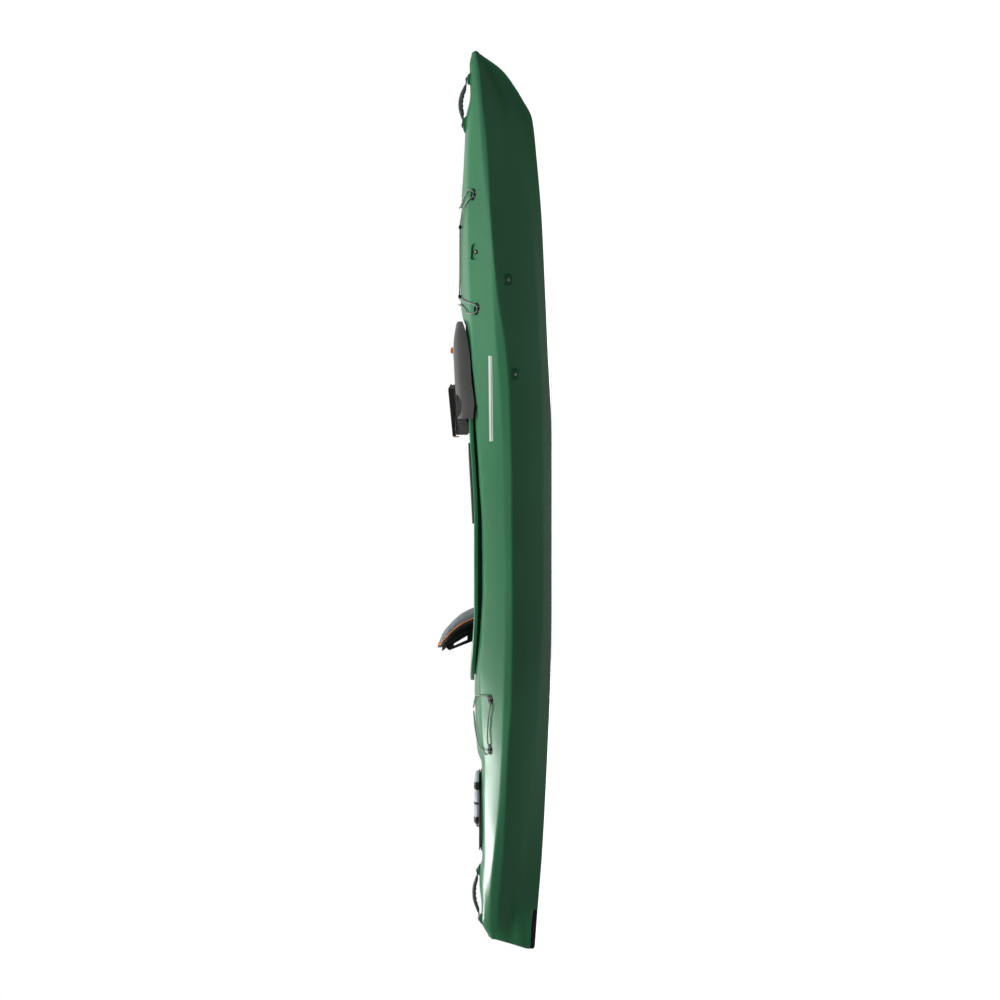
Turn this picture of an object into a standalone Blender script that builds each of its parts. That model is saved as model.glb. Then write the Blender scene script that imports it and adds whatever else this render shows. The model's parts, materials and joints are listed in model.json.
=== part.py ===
"""Sit-inside touring kayak, about 3.7 m long, with its seat, console, hatch, foot braces and deck rigging.

Frame: +X to the bow, +Y to port, +Z up. The kayak rests on its keel at z = 0, with x = 0 at mid-length.
"""

import math

import bmesh
import bpy
from mathutils import Matrix, Vector

# ---------------------------------------------------------------- driving dimensions (metres)
GAP = 0.0003                # clearance between pieces that touch
SKIN = 0.005                # wall of the moulded hull
SECTIONS = 48               # cross sections along the hull, besides those at the hatch well

COCKPIT_CENTRE_X = -0.010
COCKPIT_HALF_LENGTH = 0.705     # of the opening
COCKPIT_HALF_WIDTH = 0.270
COAMING_LIP = 0.030             # how far the rim stands out from the opening
COAMING_LIP_DEPTH = 0.017
COAMING_SKIN = 0.0055

HATCH_X = -1.280
HATCH_HALF_LENGTH = 0.168
HATCH_HALF_WIDTH = 0.118
HATCH_SEAT_Z = 0.2885           # flat ledge that the hatch rim is bonded to
HATCH_WELL = (-1.515, -1.475, -1.085, -1.05)    # x where the deck steps down around the hatch
HATCH_NECK_INSET = 0.030        # from the outside of the rim to the opening
HATCH_PANEL = (-1.352, -1.118)  # x range of the raised panel on the cover
BULKHEAD_X = (-0.985, -0.935)

POCKET_DEPTH = 0.008            # moulded recesses for the deck fittings
BUNGEE_RADIUS = 0.003
BEAD_XS = [0.840, 1.127]        # sliding beads on the front shock cord
BEAD_Y = 0.035
BEAD_STOPS = (4, 9)             # the points of the strand's line that are the beads' middles
CROSSINGS = {                   # x, y of the strands over the deck, from the eye to the middle
    "rear": [
        [(-1.033, 0.210), (-1.010, 0.172), (-0.972, 0.125), (-0.932, 0.080), (-0.896, 0.040), (-0.874, 0.0)],
        [(-0.803, 0.205), (-0.812, 0.160), (-0.828, 0.110), (-0.845, 0.055), (-0.856, 0.0)],
    ],
    "front": [
        [(0.768, 0.190), (0.782, 0.148), (0.797, 0.100), (0.806, 0.050), (0.809, 0.0)],
        [(1.272, 0.118), (1.254, 0.095), (1.232, 0.064), (1.214, 0.032), (1.208, 0.0)],
    ],
}
SCREW_RADIUS = 0.003
HANDLE_SCREW_RADIUS = 0.0025
HANDLE_FOOT = 0.0055            # thickness of the carry handles' feet
REAR_EYES = [(-1.0245, 0.256), (-0.822, 0.254)]     # x, z on the deck flank
FRONT_EYES = [(0.784, 0.307), (1.258, 0.322)]
BLANK_RECESS = (1.0205, 0.317)
BRACE_SCREWS = [(0.515, 0.149), (0.904, 0.178)]     # x, z on the hull side
BRACE_DEPTH = 0.0205            # from the hull's outside to the outer face of the rail
RAIL_HALF_HEIGHT = 0.014
RAIL_THICKNESS = 0.010

CONSOLE_BODY_X = 0.333
CONSOLE_FRONT_X = 0.737
CONSOLE_SKIN = 0.0035
CUP_X = 0.388
CUP_Y = 0.186
CUP_RADIUS = 0.040
CUP_FLOOR_Z = 0.3385
CUP_DEPTH = 0.0485
SCOOP_CENTRE = (0.384, 0.404)   # x, z of the dip beside each cup holder
SCOOP_SIZE = (0.054, 0.034)     # its half length and depth
LID_AXIS = Vector((0.466, 0.0, 0.4135))
LID_LATCH_AXIS = Vector((0.2618, 0.0, 0.4062))
RELEASE_AXIS = Vector((0.6295, 0.0, 0.4098))
LID_PIN_RADIUS = 0.002

SEAT_REAR_X = -0.475
SEAT_FRONT_X = -0.070
SEAT_HALF_WIDTH = 0.185
SEAT_EAR = (0.1755, 0.1845)     # y range of the ears that carry the backrest's pins
BACK_AXIS = Vector((-0.455, 0.0, 0.120))
HINGE_PIN_RADIUS = 0.004
BACK_FRAME_Y = 0.085
BACK_HALF_WIDTH = 0.185
# Side line of the backrest's shell, from its foot to its top, as (z, x): the aft face at the outer edge.
BACK_SHELL_LINE = [(0.112, -0.452), (0.20, -0.462), (0.30, -0.494), (0.341, -0.509), (0.376, -0.527),
                   (0.403, -0.548), (0.430, -0.573), (0.459, -0.598)]
BACK_PAD_LINE = [(0.150, -0.408), (0.24, -0.412), (0.3226, -0.432), (0.366, -0.453), (0.393, -0.4735),
                 (0.4177, -0.498), (0.4446, -0.527), (0.463, -0.556), (0.470, -0.585)]
BACK_WRAP = 0.034                   # how far the sides come forward of the middle

SKID_FRONT_X = -1.694

# ---------------------------------------------------------------- hull lines, as (x, value) design points
# Each line of the hull runs from stern to bow: (stern x, bow x, half-breadth points, height points).
KEEL_CENTRE = (
    -1.8495, 1.8485,
    [(-1.8495, 0.0), (1.8485, 0.0)],
    [(-1.8495, 0.070), (-1.694, 0.0575), (-1.445, 0.038), (-1.03, 0.0165), (-0.71, 0.004), (-0.45, 0.0),
     (0.25, 0.0), (0.63, 0.0165), (0.92, 0.029), (1.17, 0.041), (1.42, 0.062), (1.577, 0.080),
     (1.656, 0.1195), (1.71, 0.153), (1.775, 0.202), (1.8485, 0.300)],
)
KEEL_EDGE = (
    -1.8495, 1.8485,
    [(-1.8495, 0.009), (-1.6, 0.013), (-1.2, 0.028), (-0.5, 0.050), (0.3, 0.050), (1.0, 0.028),
     (1.5, 0.011), (1.8485, 0.005)],
    KEEL_CENTRE[3],
)
CHINE = (
    -1.8545, 1.8515,
    [(-1.8545, 0.010), (-1.72, 0.013), (-1.66, 0.030), (-1.55, 0.062), (-1.24, 0.132), (-0.91, 0.195),
     (-0.6, 0.236), (-0.2, 0.255), (0.2, 0.248), (0.5, 0.222), (0.8, 0.178), (1.15, 0.112), (1.4, 0.058),
     (1.55, 0.023), (1.61, 0.012), (1.8515, 0.006)],
    [(-1.8545, 0.099), (-1.652, 0.116), (-1.239, 0.083), (-0.908, 0.058), (-0.618, 0.041), (-0.41, 0.033),
     (0.21, 0.033), (0.416, 0.037), (0.767, 0.056), (1.16, 0.085), (1.42, 0.110), (1.577, 0.130),
     (1.66, 0.165), (1.775, 0.235), (1.8515, 0.305)],
)
SIDE = (
    -1.8335, 1.8545,
    [(-1.8335, 0.011), (-1.715, 0.014), (-1.66, 0.042), (-1.6, 0.075), (-1.4, 0.155), (-1.0, 0.262),
     (-0.5, 0.332), (0.0, 0.343), (0.5, 0.316), (0.9, 0.250), (1.2, 0.175), (1.45, 0.096), (1.57, 0.050),
     (1.625, 0.024), (1.67, 0.013), (1.8545, 0.0065)],
    [(-1.8335, 0.165), (-1.65, 0.168), (-1.239, 0.142), (-0.908, 0.124), (-0.618, 0.110), (-0.41, 0.105),
     (0.21, 0.106), (0.416, 0.112), (0.767, 0.142), (1.16, 0.176), (1.42, 0.196), (1.577, 0.206),
     (1.66, 0.226), (1.775, 0.270), (1.8545, 0.3095)],
)
GUNWALE = (
    -1.8145, 1.8555,
    [(-1.8145, 0.012), (-1.70, 0.052), (-1.60, 0.098), (-1.40, 0.176), (-1.20, 0.237), (-1.0, 0.285),
     (-0.7, 0.334), (-0.4, 0.361), (-0.1, 0.3685), (0.2, 0.362), (0.45, 0.345), (0.7, 0.315), (0.95, 0.270),
     (1.2, 0.212), (1.45, 0.142), (1.65, 0.078), (1.78, 0.034), (1.8555, 0.008)],
    [(-1.8145, 0.232), (-1.623, 0.215), (-1.446, 0.1985), (-1.239, 0.190), (-0.991, 0.178), (-0.825, 0.166),
     (-0.41, 0.163), (0.0, 0.165), (0.416, 0.174), (0.622, 0.190), (0.871, 0.2275), (1.181, 0.252),
     (1.45, 0.2647), (1.656, 0.2854), (1.80, 0.299), (1.8555, 0.314)],
)
DECK_EDGE = (
    -1.8135, 1.8535,
    [(-1.8135, 0.011), (-1.70, 0.049), (-1.60, 0.094), (-1.40, 0.171), (-1.20, 0.231), (-1.0, 0.278),
     (-0.7, 0.326), (-0.4, 0.353), (-0.1, 0.3605), (0.2, 0.354), (0.45, 0.337), (0.7, 0.307), (0.95, 0.262),
     (1.2, 0.205), (1.45, 0.136), (1.65, 0.073), (1.78, 0.030), (1.8535, 0.007)],
    [(-1.8135, 0.246), (-1.74, 0.256), (-1.623, 0.252), (-1.446, 0.2357), (-1.239, 0.215), (-0.991, 0.2027),
     (-0.825, 0.1985), (-0.41, 0.190), (0.0, 0.1944), (0.416, 0.211), (0.622, 0.2275), (0.871, 0.244),
     (1.181, 0.2647), (1.45, 0.288), (1.656, 0.302), (1.80, 0.314), (1.8535, 0.320)],
)
SHOULDER = (
    -1.8065, 1.8495,
    [(-1.8065, 0.006), (-1.70, 0.028), (-1.58, 0.062), (-1.45, 0.100), (-1.28, 0.145), (-1.05, 0.185),
     (-0.85, 0.215), (-0.7, 0.247), (-0.5, 0.288), (-0.25, 0.307), (0.0, 0.308), (0.25, 0.294), (0.45, 0.268),
     (0.65, 0.232), (0.85, 0.195), (1.1, 0.148), (1.35, 0.098), (1.55, 0.058), (1.7, 0.032), (1.8495, 0.005)],
    [(-1.8065, 0.254), (-1.738, 0.284), (-1.6, 0.288), (-1.45, 0.2825), (-1.1, 0.2825), (-0.9, 0.294),
     (-0.726, 0.2985), (-0.577, 0.2895), (-0.37, 0.281), (-0.105, 0.2854), (0.085, 0.2978), (0.333, 0.3143),
     (0.55, 0.325), (0.788, 0.335), (0.982, 0.343), (1.247, 0.347), (1.45, 0.345), (1.62, 0.334),
     (1.75, 0.330), (1.8495, 0.325)],
)
DECK_CENTRE = (
    -1.8005, 1.8445,
    [(-1.8005, 0.0), (1.8445, 0.0)],
    [(-1.8005, 0.262), (-1.738, 0.292), (-1.673, 0.2895), (-1.585, 0.2995), (-1.515, 0.297), (-1.475, 0.2850),
     (-1.085, 0.2850), (-1.05, 0.303), (-1.00, 0.311), (-0.866, 0.316), (-0.78, 0.318), (-0.70, 0.312),
     (-0.5, 0.300), (0.0, 0.305), (0.3, 0.318), (0.6, 0.336), (0.70, 0.348), (0.76, 0.370), (0.83, 0.378),
     (0.995, 0.378), (1.243, 0.374), (1.354, 0.367), (1.50, 0.360), (1.577, 0.357), (1.674, 0.337),
     (1.754, 0.339), (1.80, 0.341), (1.8445, 0.331)],
)
HULL_LINES = [KEEL_CENTRE, KEEL_EDGE, CHINE, SIDE, GUNWALE, DECK_EDGE, SHOULDER, DECK_CENTRE]
# Between one line and the next: points added, and how far they stand out, as a part of the distance.
HULL_FACETS = [(0, 0.0), (1, 0.012), (1, 0.05), (1, 0.03), (0, 0.0), (1, 0.02), (2, 0.025)]

RIM_HEIGHT = [(-0.745, 0.337), (-0.693, 0.335), (-0.428, 0.320), (-0.105, 0.320), (0.0, 0.3226),
              (0.279, 0.339), (0.5, 0.347), (0.725, 0.357)]
CONSOLE_SKIRT = [(0.333, 0.3225), (0.40, 0.3190), (0.484, 0.3298), (0.585, 0.336), (0.641, 0.3445),
                 (0.70, 0.356), (0.737, 0.3680)]
CONSOLE_TOP = [(0.333, 0.388), (0.4645, 0.399), (0.57, 0.4045), (0.6075, 0.4065), (0.66, 0.4045),
               (0.709, 0.3975), (0.728, 0.3940), (0.737, 0.3885)]

COLOURS = {
    "hull_green": ((0.035, 0.155, 0.065, 1.0), 0.42, 0.0),
    "console_grey": ((0.075, 0.075, 0.072, 1.0), 0.6, 0.0),
    "dark_plastic": ((0.022, 0.023, 0.024, 1.0), 0.55, 0.0),
    "grip_slate": ((0.075, 0.085, 0.095, 1.0), 0.7, 0.0),
    "orange_plastic": ((0.72, 0.17, 0.02, 1.0), 0.5, 0.0),
    "seat_fabric": ((0.17, 0.20, 0.215, 1.0), 0.9, 0.0),
    "seat_plastic": ((0.018, 0.019, 0.02, 1.0), 0.55, 0.0),
    "foam_grey": ((0.06, 0.062, 0.066, 1.0), 0.9, 0.0),
    "hatch_light": ((0.40, 0.43, 0.46, 1.0), 0.5, 0.0),
    "rubber_black": ((0.012, 0.012, 0.012, 1.0), 0.8, 0.0),
    "bungee_grey": ((0.045, 0.055, 0.05, 1.0), 0.75, 0.0),
    "stainless": ((0.62, 0.62, 0.60, 1.0), 0.28, 1.0),
}


# ---------------------------------------------------------------- general helpers
def clear_scene():
    for existing in list(bpy.data.objects):
        bpy.data.objects.remove(existing, do_unlink=True)


def material(name):
    made = bpy.data.materials.get(name)
    if made:
        return made
    colour, roughness, metallic = COLOURS[name]
    made = bpy.data.materials.new(name)
    made.use_nodes = True
    shader = made.node_tree.nodes["Principled BSDF"]
    shader.inputs["Base Color"].default_value = colour
    shader.inputs["Roughness"].default_value = roughness
    shader.inputs["Metallic"].default_value = metallic
    made.diffuse_color = colour
    return made


def add_object(name, mesh_data, finish, origin=None):
    """Turns a bmesh into an object, with its origin on the given world point."""
    bmesh.ops.recalc_face_normals(mesh_data, faces=mesh_data.faces)
    if origin is not None:
        bmesh.ops.translate(mesh_data, verts=mesh_data.verts, vec=-origin)
    data = bpy.data.meshes.new(name)
    mesh_data.to_mesh(data)
    mesh_data.free()
    made = bpy.data.objects.new(name, data)
    if origin is not None:
        made.location = origin
    bpy.context.scene.collection.objects.link(made)
    if finish:
        data.materials.append(material(finish))
        data.shade_smooth()
        data.set_sharp_from_angle(angle=math.radians(35))
    return made


def add_cutter(name, mesh_data):
    cutter = add_object(name, mesh_data, None)
    cutter.hide_render = True
    cutter.display_type = "WIRE"
    return cutter


def boolean(target, operation, other):
    change = target.modifiers.new(other.name, "BOOLEAN")
    change.operation = operation
    change.object = other
    change.solver = "EXACT"


def mix(low, high, part):
    return low + (high - low) * part


def on_line(points, x):
    """Height of a smooth curve through (x, value) points that never overshoots them."""
    if x <= points[0][0]:
        return points[0][1]
    if x >= points[-1][0]:
        return points[-1][1]
    index = max(i for i in range(len(points) - 1) if points[i][0] <= x)

    def slope(i):
        return (points[i + 1][1] - points[i][1]) / (points[i + 1][0] - points[i][0])

    def tangent(i):
        if i == 0:
            return slope(0)
        if i == len(points) - 1:
            return slope(i - 1)
        before, after = slope(i - 1), slope(i)
        return 2 * before * after / (before + after) if before * after > 0 else 0.0

    width = points[index + 1][0] - points[index][0]
    t = (x - points[index][0]) / width
    start, end = points[index][1], points[index + 1][1]
    return (
        start * (1 + 2 * t) * (1 - t) ** 2 + end * t * t * (3 - 2 * t)
        + width * (tangent(index) * t * (1 - t) ** 2 + tangent(index + 1) * t * t * (t - 1))
    )


def loft(mesh_data, rings):
    """Skins closed rings of equal length and caps the two ends."""
    made = [[mesh_data.verts.new(point) for point in ring] for ring in rings]
    count = len(made[0])
    for near, far in zip(made, made[1:]):
        for i in range(count):
            j = (i + 1) % count
            mesh_data.faces.new((near[i], near[j], far[j], far[i]))
    mesh_data.faces.new(made[0])
    mesh_data.faces.new(made[-1])
    return mesh_data


def ring_loft(rings):
    """Skins closed rings of equal length into one endless ring."""
    mesh_data = bmesh.new()
    made = [[mesh_data.verts.new(point) for point in ring] for ring in rings]
    count = len(made[0])
    for near, far in zip(made, made[1:] + made[:1]):
        for i in range(count):
            j = (i + 1) % count
            mesh_data.faces.new((near[i], near[j], far[j], far[i]))
    return mesh_data


def prism(outline, direction):
    """A solid from a flat outline of points, swept along a direction."""
    return loft(bmesh.new(), [outline, [point + direction for point in outline]])


def side_prism(outline, y_low, y_high):
    """A solid from an (x, z) outline, from one y to another."""
    points = [Vector((x, y_low, z)) for x, z in outline]
    return prism(points, Vector((0, y_high - y_low, 0)))


def deck_prism(outline, z_low, z_high):
    """A solid from an (x, y) outline, from one height to another."""
    points = [Vector((x, y, z_low)) for x, y in outline]
    return prism(points, Vector((0, 0, z_high - z_low)))


def box(low, high):
    corners = [(low[0], low[1]), (high[0], low[1]), (high[0], high[1]), (low[0], high[1])]
    return deck_prism(corners, low[2], high[2])


def oval(centre_x, half_length, half_width, count, power=2.0):
    """Points of an oval in plan; a higher power gives fuller corners."""
    points = []
    for i in range(count):
        angle = 2 * math.pi * (i + 0.5) / count
        across, along = math.sin(angle), math.cos(angle)
        points.append((
            centre_x + half_length * math.copysign(abs(along) ** (2 / power), along),
            half_width * math.copysign(abs(across) ** (2 / power), across),
        ))
    return points


def frame_along(normal, along=Vector((1, 0, 0))):
    """Rotation whose Z is the normal and whose X is as near as possible to the other direction."""
    z_axis = normal.normalized()
    x_axis = (along - z_axis * along.dot(z_axis)).normalized()
    y_axis = z_axis.cross(x_axis)
    return Matrix((x_axis, y_axis, z_axis)).transposed().to_4x4()


def pocket(place, half_length, half_width, power, levels):
    """A rounded form along a placement's Z; levels give how much wider it is at each height."""
    rings = []
    for wider, z in levels:
        outline = oval(0.0, half_length + wider, half_width + wider, 16, power)
        rings.append([place @ Vector((x, y, z)) for x, y in outline])
    return loft(bmesh.new(), rings)


def turned(profile, place, segments=12, stretch=1.0):
    """A solid of revolution about a placement's Z, from (radius, height) points, stretched along X."""
    rings = []
    for radius, height in profile:
        ring = []
        for i in range(segments):
            angle = 2 * math.pi * i / segments
            local = Vector((stretch * radius * math.cos(angle), radius * math.sin(angle), height))
            ring.append(place @ local)
        rings.append(ring)
    return loft(bmesh.new(), rings)


def tube(points, radius, sides=8):
    """A closed tube along a list of points, with flat ends."""
    rings = []
    first = (points[1] - points[0]).normalized()
    reference = Vector((0, 1, 0)) if abs(first.y) < 0.9 else Vector((1, 0, 0))
    for i, point in enumerate(points):
        before = points[max(i - 1, 0)]
        after = points[min(i + 1, len(points) - 1)]
        ahead = (after - before).normalized()
        across = (reference - ahead * reference.dot(ahead)).normalized()
        reference = across
        up = ahead.cross(across)
        rings.append([
            point + radius * (math.cos(a) * across + math.sin(a) * up)
            for a in (2 * math.pi * k / sides for k in range(sides))
        ])
    return loft(bmesh.new(), rings)


def cross_tube(centre, reach, radius, sides):
    """A rod across the boat."""
    return tube([centre + Vector((0, -reach, 0)), centre + Vector((0, reach, 0))], radius, sides)


def merged(meshes):
    """One bmesh that holds several separate closed solids."""
    whole = bmesh.new()
    for part in meshes:
        data = bpy.data.meshes.new("part")
        bmesh.ops.recalc_face_normals(part, faces=part.faces)
        part.to_mesh(data)
        part.free()
        whole.from_mesh(data)
        bpy.data.meshes.remove(data)
    return whole


# ---------------------------------------------------------------- hull surface
def half_section(part):
    """Points from the keel up the port side to the deck's centre, at a part of the length."""
    corners = []
    for stern_x, bow_x, breadth, height in HULL_LINES:
        x = mix(stern_x, bow_x, part)
        corners.append(Vector((x, on_line(breadth, x), on_line(height, x))))
    points = [corners[0]]
    for (added, bulge), start, end in zip(HULL_FACETS, corners, corners[1:]):
        chord = end - start
        outward = Vector((0, chord.z, -chord.y))
        for k in range(1, added + 1):
            t = k / (added + 1)
            points.append(start + chord * t + outward * (4 * bulge * t * (1 - t)))
        points.append(end)
    return points


def full_ring(half):
    return half + [Vector((p.x, -p.y, p.z)) for p in reversed(half[1:-1])]


def inset_ring(half, distance):
    """The half section moved inwards by a distance, square to its own outline."""
    moved = []
    for i, point in enumerate(half):
        before = half[i - 1] if i else Vector((point.x, -half[1].y, half[1].z))
        after = half[i + 1] if i < len(half) - 1 else Vector((point.x, -half[-2].y, half[-2].z))
        first = Vector((0, (point - before).z, -(point - before).y)).normalized()
        second = Vector((0, (after - point).z, -(after - point).y)).normalized()
        outward = (first + second).normalized()
        reach = distance / max(0.5, outward.dot(first))
        moved.append(point - outward * reach)
    for point in moved[1:-1]:
        point.y = max(point.y, 0.002)
    return moved


def length_part(x):
    return (x - KEEL_CENTRE[0]) / (KEEL_CENTRE[1] - KEEL_CENTRE[0])


def section_at(x):
    return half_section(length_part(x))


def station_parts(count):
    """Fractions of the length, closer together towards both ends."""
    even = [i / (count - 1) for i in range(count)]
    spread = [0.6 * u + 0.4 * (0.5 - 0.5 * math.cos(math.pi * u)) for u in even]
    forced = [length_part(x) for x in HATCH_WELL]
    clear = [p for p in spread if min(abs(p - f) for f in forced) > 0.35 / count]
    return sorted(clear + forced)


def side_point(x, z):
    """Point of the port side or deck flank at a height, and the outward direction there."""
    def at(place):
        half = section_at(place)
        for low, high in zip(half[2:], half[3:]):
            if low.z <= z <= high.z:
                return low.lerp(high, (z - low.z) / (high.z - low.z)), high - low
        return half[-1], half[-1] - half[-2]

    point, rise = at(x)
    ahead = at(x + 0.02)[0] - at(x - 0.02)[0]
    return Vector((x, point.y, z)), rise.cross(ahead).normalized()


def deck_height(x, y):
    """Height of the deck's upper surface above a point in plan."""
    half = section_at(x)
    for low, high in zip(half[-2::-1], half[:0:-1]):
        if high.y <= abs(y) <= low.y:
            part = (abs(y) - high.y) / max(low.y - high.y, 1e-9)
            return mix(high.z, low.z, part)
    return half[-1].z


def floor_height(x, y):
    """Height of the hull's outer bottom at a point in plan."""
    half = section_at(x)
    for low, high in zip(half, half[1:]):
        if low.y <= abs(y) <= high.y:
            return mix(low.z, high.z, (abs(y) - low.y) / max(high.y - low.y, 1e-9))
    return half[0].z


def on_deck(x, y, lift):
    """A point above the deck by a distance, square to the deck."""
    step = 0.01
    rise_x = (deck_height(x + step, y) - deck_height(x - step, y)) / (2 * step)
    rise_y = (deck_height(x, y + step) - deck_height(x, y - step)) / (2 * step)
    up = Vector((-rise_x, -rise_y, 1)).normalized()
    return Vector((x, y, deck_height(x, y))) + up * lift


def mirrored(point, side):
    return Vector((point.x, point.y * side, point.z))


def placed(point, normal, side):
    """Placement with its Z square to the hull at a fitting, on the port (1) or starboard (-1) side."""
    flipped = mirrored(normal, side)
    return Matrix.Translation(mirrored(point, side)) @ frame_along(flipped)


SIDES = [("port", 1), ("starboard", -1)]


# ---------------------------------------------------------------- cockpit coaming
def cockpit_edge(count, outward):
    """Points around the cockpit, moved outward from the opening."""
    base = []
    for i in range(count):
        angle = 2 * math.pi * (i + 0.5) / count
        along, across = math.cos(angle), math.sin(angle)
        base.append(Vector((
            COCKPIT_CENTRE_X + COCKPIT_HALF_LENGTH * math.copysign(abs(along) ** 0.77, along),
            COCKPIT_HALF_WIDTH * math.copysign(abs(across) ** 0.91, across),
            0,
        )))
    points = []
    for i, point in enumerate(base):
        ahead = base[(i + 1) % count] - base[i - 1]
        points.append(point + Vector((ahead.y, -ahead.x, 0)).normalized() * outward)
    return points


def lip_half_width(x):
    """Half-breadth of the outside of the coaming's lip."""
    u = abs(x - COCKPIT_CENTRE_X) / (COCKPIT_HALF_LENGTH + COAMING_LIP)
    return (COCKPIT_HALF_WIDTH + COAMING_LIP) * max(0.0, 1 - u ** 2.6) ** (1 / 2.2)


def coaming_ring():
    count = 56
    steps = [-0.003, -0.003, COAMING_LIP, COAMING_LIP, COAMING_LIP - COAMING_SKIN, COAMING_LIP - COAMING_SKIN,
             COAMING_SKIN, COAMING_SKIN]
    drops = [None, 0.0, 0.0, COAMING_LIP_DEPTH, COAMING_LIP_DEPTH, COAMING_SKIN, COAMING_SKIN, None]
    tracks = [cockpit_edge(count, step) for step in steps]
    rings = []
    for i in range(count):
        top = on_line(RIM_HEIGHT, tracks[0][i].x)
        ring = []
        for track, drop in zip(tracks, drops):
            flat = track[i]
            foot = min(deck_height(flat.x, flat.y) - 0.004, top - COAMING_LIP_DEPTH)
            ring.append(Vector((flat.x, flat.y, foot if drop is None else top - drop)))
        rings.append(ring)
    return ring_loft(rings)


# ---------------------------------------------------------------- hull
def hull_fittings():
    """Placements of every moulded recess, as (name, placement, half length, half width)."""
    made = []
    for side_name, side in SIDES:
        for group, eyes in (("rear", REAR_EYES), ("front", FRONT_EYES)):
            for number, (x, z) in enumerate(eyes, 1):
                point, normal = side_point(x, z)
                made.append((f"{group}_eye_{side_name}_{number}", placed(point, normal, side), 0.024, 0.0145))
        point, normal = side_point(*BLANK_RECESS)
        made.append((f"accessory_cap_{side_name}", placed(point, normal, side), 0.033, 0.018))
        for number, (x, z) in enumerate(BRACE_SCREWS, 1):
            point, normal = side_point(x, z)
            place = placed(point, brace_direction(), side)
            made.append((f"brace_screw_{side_name}_{number}", place, 0.0225, 0.0145))
    return made


def brace_direction():
    """Outward direction of the foot-brace screws: square to the rail, level."""
    rear, front = (side_point(x, z)[0] for x, z in BRACE_SCREWS)
    along = front - rear
    return Vector((-along.y, along.x, 0)).normalized()


def handle_bosses():
    """Outlines in x and z of the moulded pads that the two carry handles are screwed to."""
    return [
        [(1.520, 0.3545), (1.528, 0.3655), (1.572, 0.3655), (1.585, 0.3530)],
        [(1.712, 0.325), (1.722, 0.3485), (1.752, 0.3485), (1.762, 0.325)],
        [(-1.555, 0.2945), (-1.545, 0.3045), (-1.520, 0.3045), (-1.508, 0.2945)],
        [(-1.752, 0.270), (-1.744, 0.2965), (-1.716, 0.2965), (-1.708, 0.270)],
    ]


def hull_shell():
    parts = station_parts(SECTIONS)
    rings = [full_ring(half_section(p)) for p in parts]
    shell = add_object("hull_shell", loft(bmesh.new(), rings), "hull_green")

    inside = [p for p in parts if -1.60 < mix(KEEL_CENTRE[0], KEEL_CENTRE[1], p) < 1.54]
    hollow = add_cutter("hull_hollow", loft(
        bmesh.new(), [full_ring(inset_ring(half_section(p), SKIN)) for p in inside]
    ))
    bosses = []
    for name, place, length, _ in hull_fittings():
        depth = BRACE_DEPTH - GAP if name.startswith("brace") else POCKET_DEPTH + SKIN
        bosses.append(turned([(1.25 * length, -depth), (1.25 * length, 0.02)], place, 12))
    boolean(hollow, "DIFFERENCE", add_cutter("recess_bosses", merged(bosses)))
    boolean(shell, "DIFFERENCE", hollow)

    boolean(shell, "UNION", add_cutter("coaming", coaming_ring()))
    ledge = oval(HATCH_X, HATCH_HALF_LENGTH + 0.004, HATCH_HALF_WIDTH + 0.004, 32, 2.3)
    boolean(shell, "UNION", add_cutter("hatch_ledge", deck_prism(ledge, HATCH_SEAT_Z - 0.008, HATCH_SEAT_Z)))
    bosses = merged([side_prism(outline, -0.014, 0.014) for outline in handle_bosses()])
    boolean(shell, "UNION", add_cutter("handle_bosses", bosses))

    opening = [(p.x, p.y) for p in cockpit_edge(56, 0.0)]
    boolean(shell, "DIFFERENCE", add_cutter("cockpit_cut", deck_prism(opening, 0.235, 0.5)))
    neck = oval(HATCH_X, HATCH_HALF_LENGTH - HATCH_NECK_INSET, HATCH_HALF_WIDTH - HATCH_NECK_INSET, 32, 2.3)
    boolean(shell, "DIFFERENCE", add_cutter("hatch_neck", deck_prism(neck, 0.24, 0.4)))

    recesses = []
    for name, place, length, width in hull_fittings():
        power = 2.0 if "_eye_" in name else 4.5
        recesses.append(pocket(place, length, width, power, [(-0.0015, -POCKET_DEPTH), (0.002, 0.012)]))
    boolean(shell, "DIFFERENCE", add_cutter("recesses", merged(recesses)))
    holes = [
        turned([(SCREW_RADIUS + GAP, -0.05), (SCREW_RADIUS + GAP, 0.0)], place, 10)
        for name, place, _, _ in hull_fittings() if name.startswith("brace_screw")
    ]
    boolean(shell, "DIFFERENCE", add_cutter("brace_screw_holes", merged(holes)))

    notch = [(-1.870, 0.040), (-1.870, 0.0905), (SKID_FRONT_X, 0.0785), (SKID_FRONT_X, 0.040)]
    boolean(shell, "DIFFERENCE", add_cutter("skid_notch", side_prism(notch, -0.05, 0.05)))
    holes = [turned([(HANDLE_SCREW_RADIUS + GAP, -0.012), (HANDLE_SCREW_RADIUS + GAP, 0.05)],
                    Matrix.Translation(point), 10) for _, point in handle_screws()]
    boolean(shell, "DIFFERENCE", add_cutter("handle_screw_holes", merged(holes)))
    return shell


# ---------------------------------------------------------------- deck fittings
def handle_screws():
    """Point where each handle screw meets the top of its boss."""
    return [
        ("bow_handle_screw_rear", Vector((1.550, 0, 0.3655))),
        ("bow_handle_screw_front", Vector((1.738, 0, 0.3485))),
        ("stern_handle_screw_front", Vector((-1.5325, 0, 0.3045))),
        ("stern_handle_screw_rear", Vector((-1.730, 0, 0.2965))),
    ]


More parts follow.
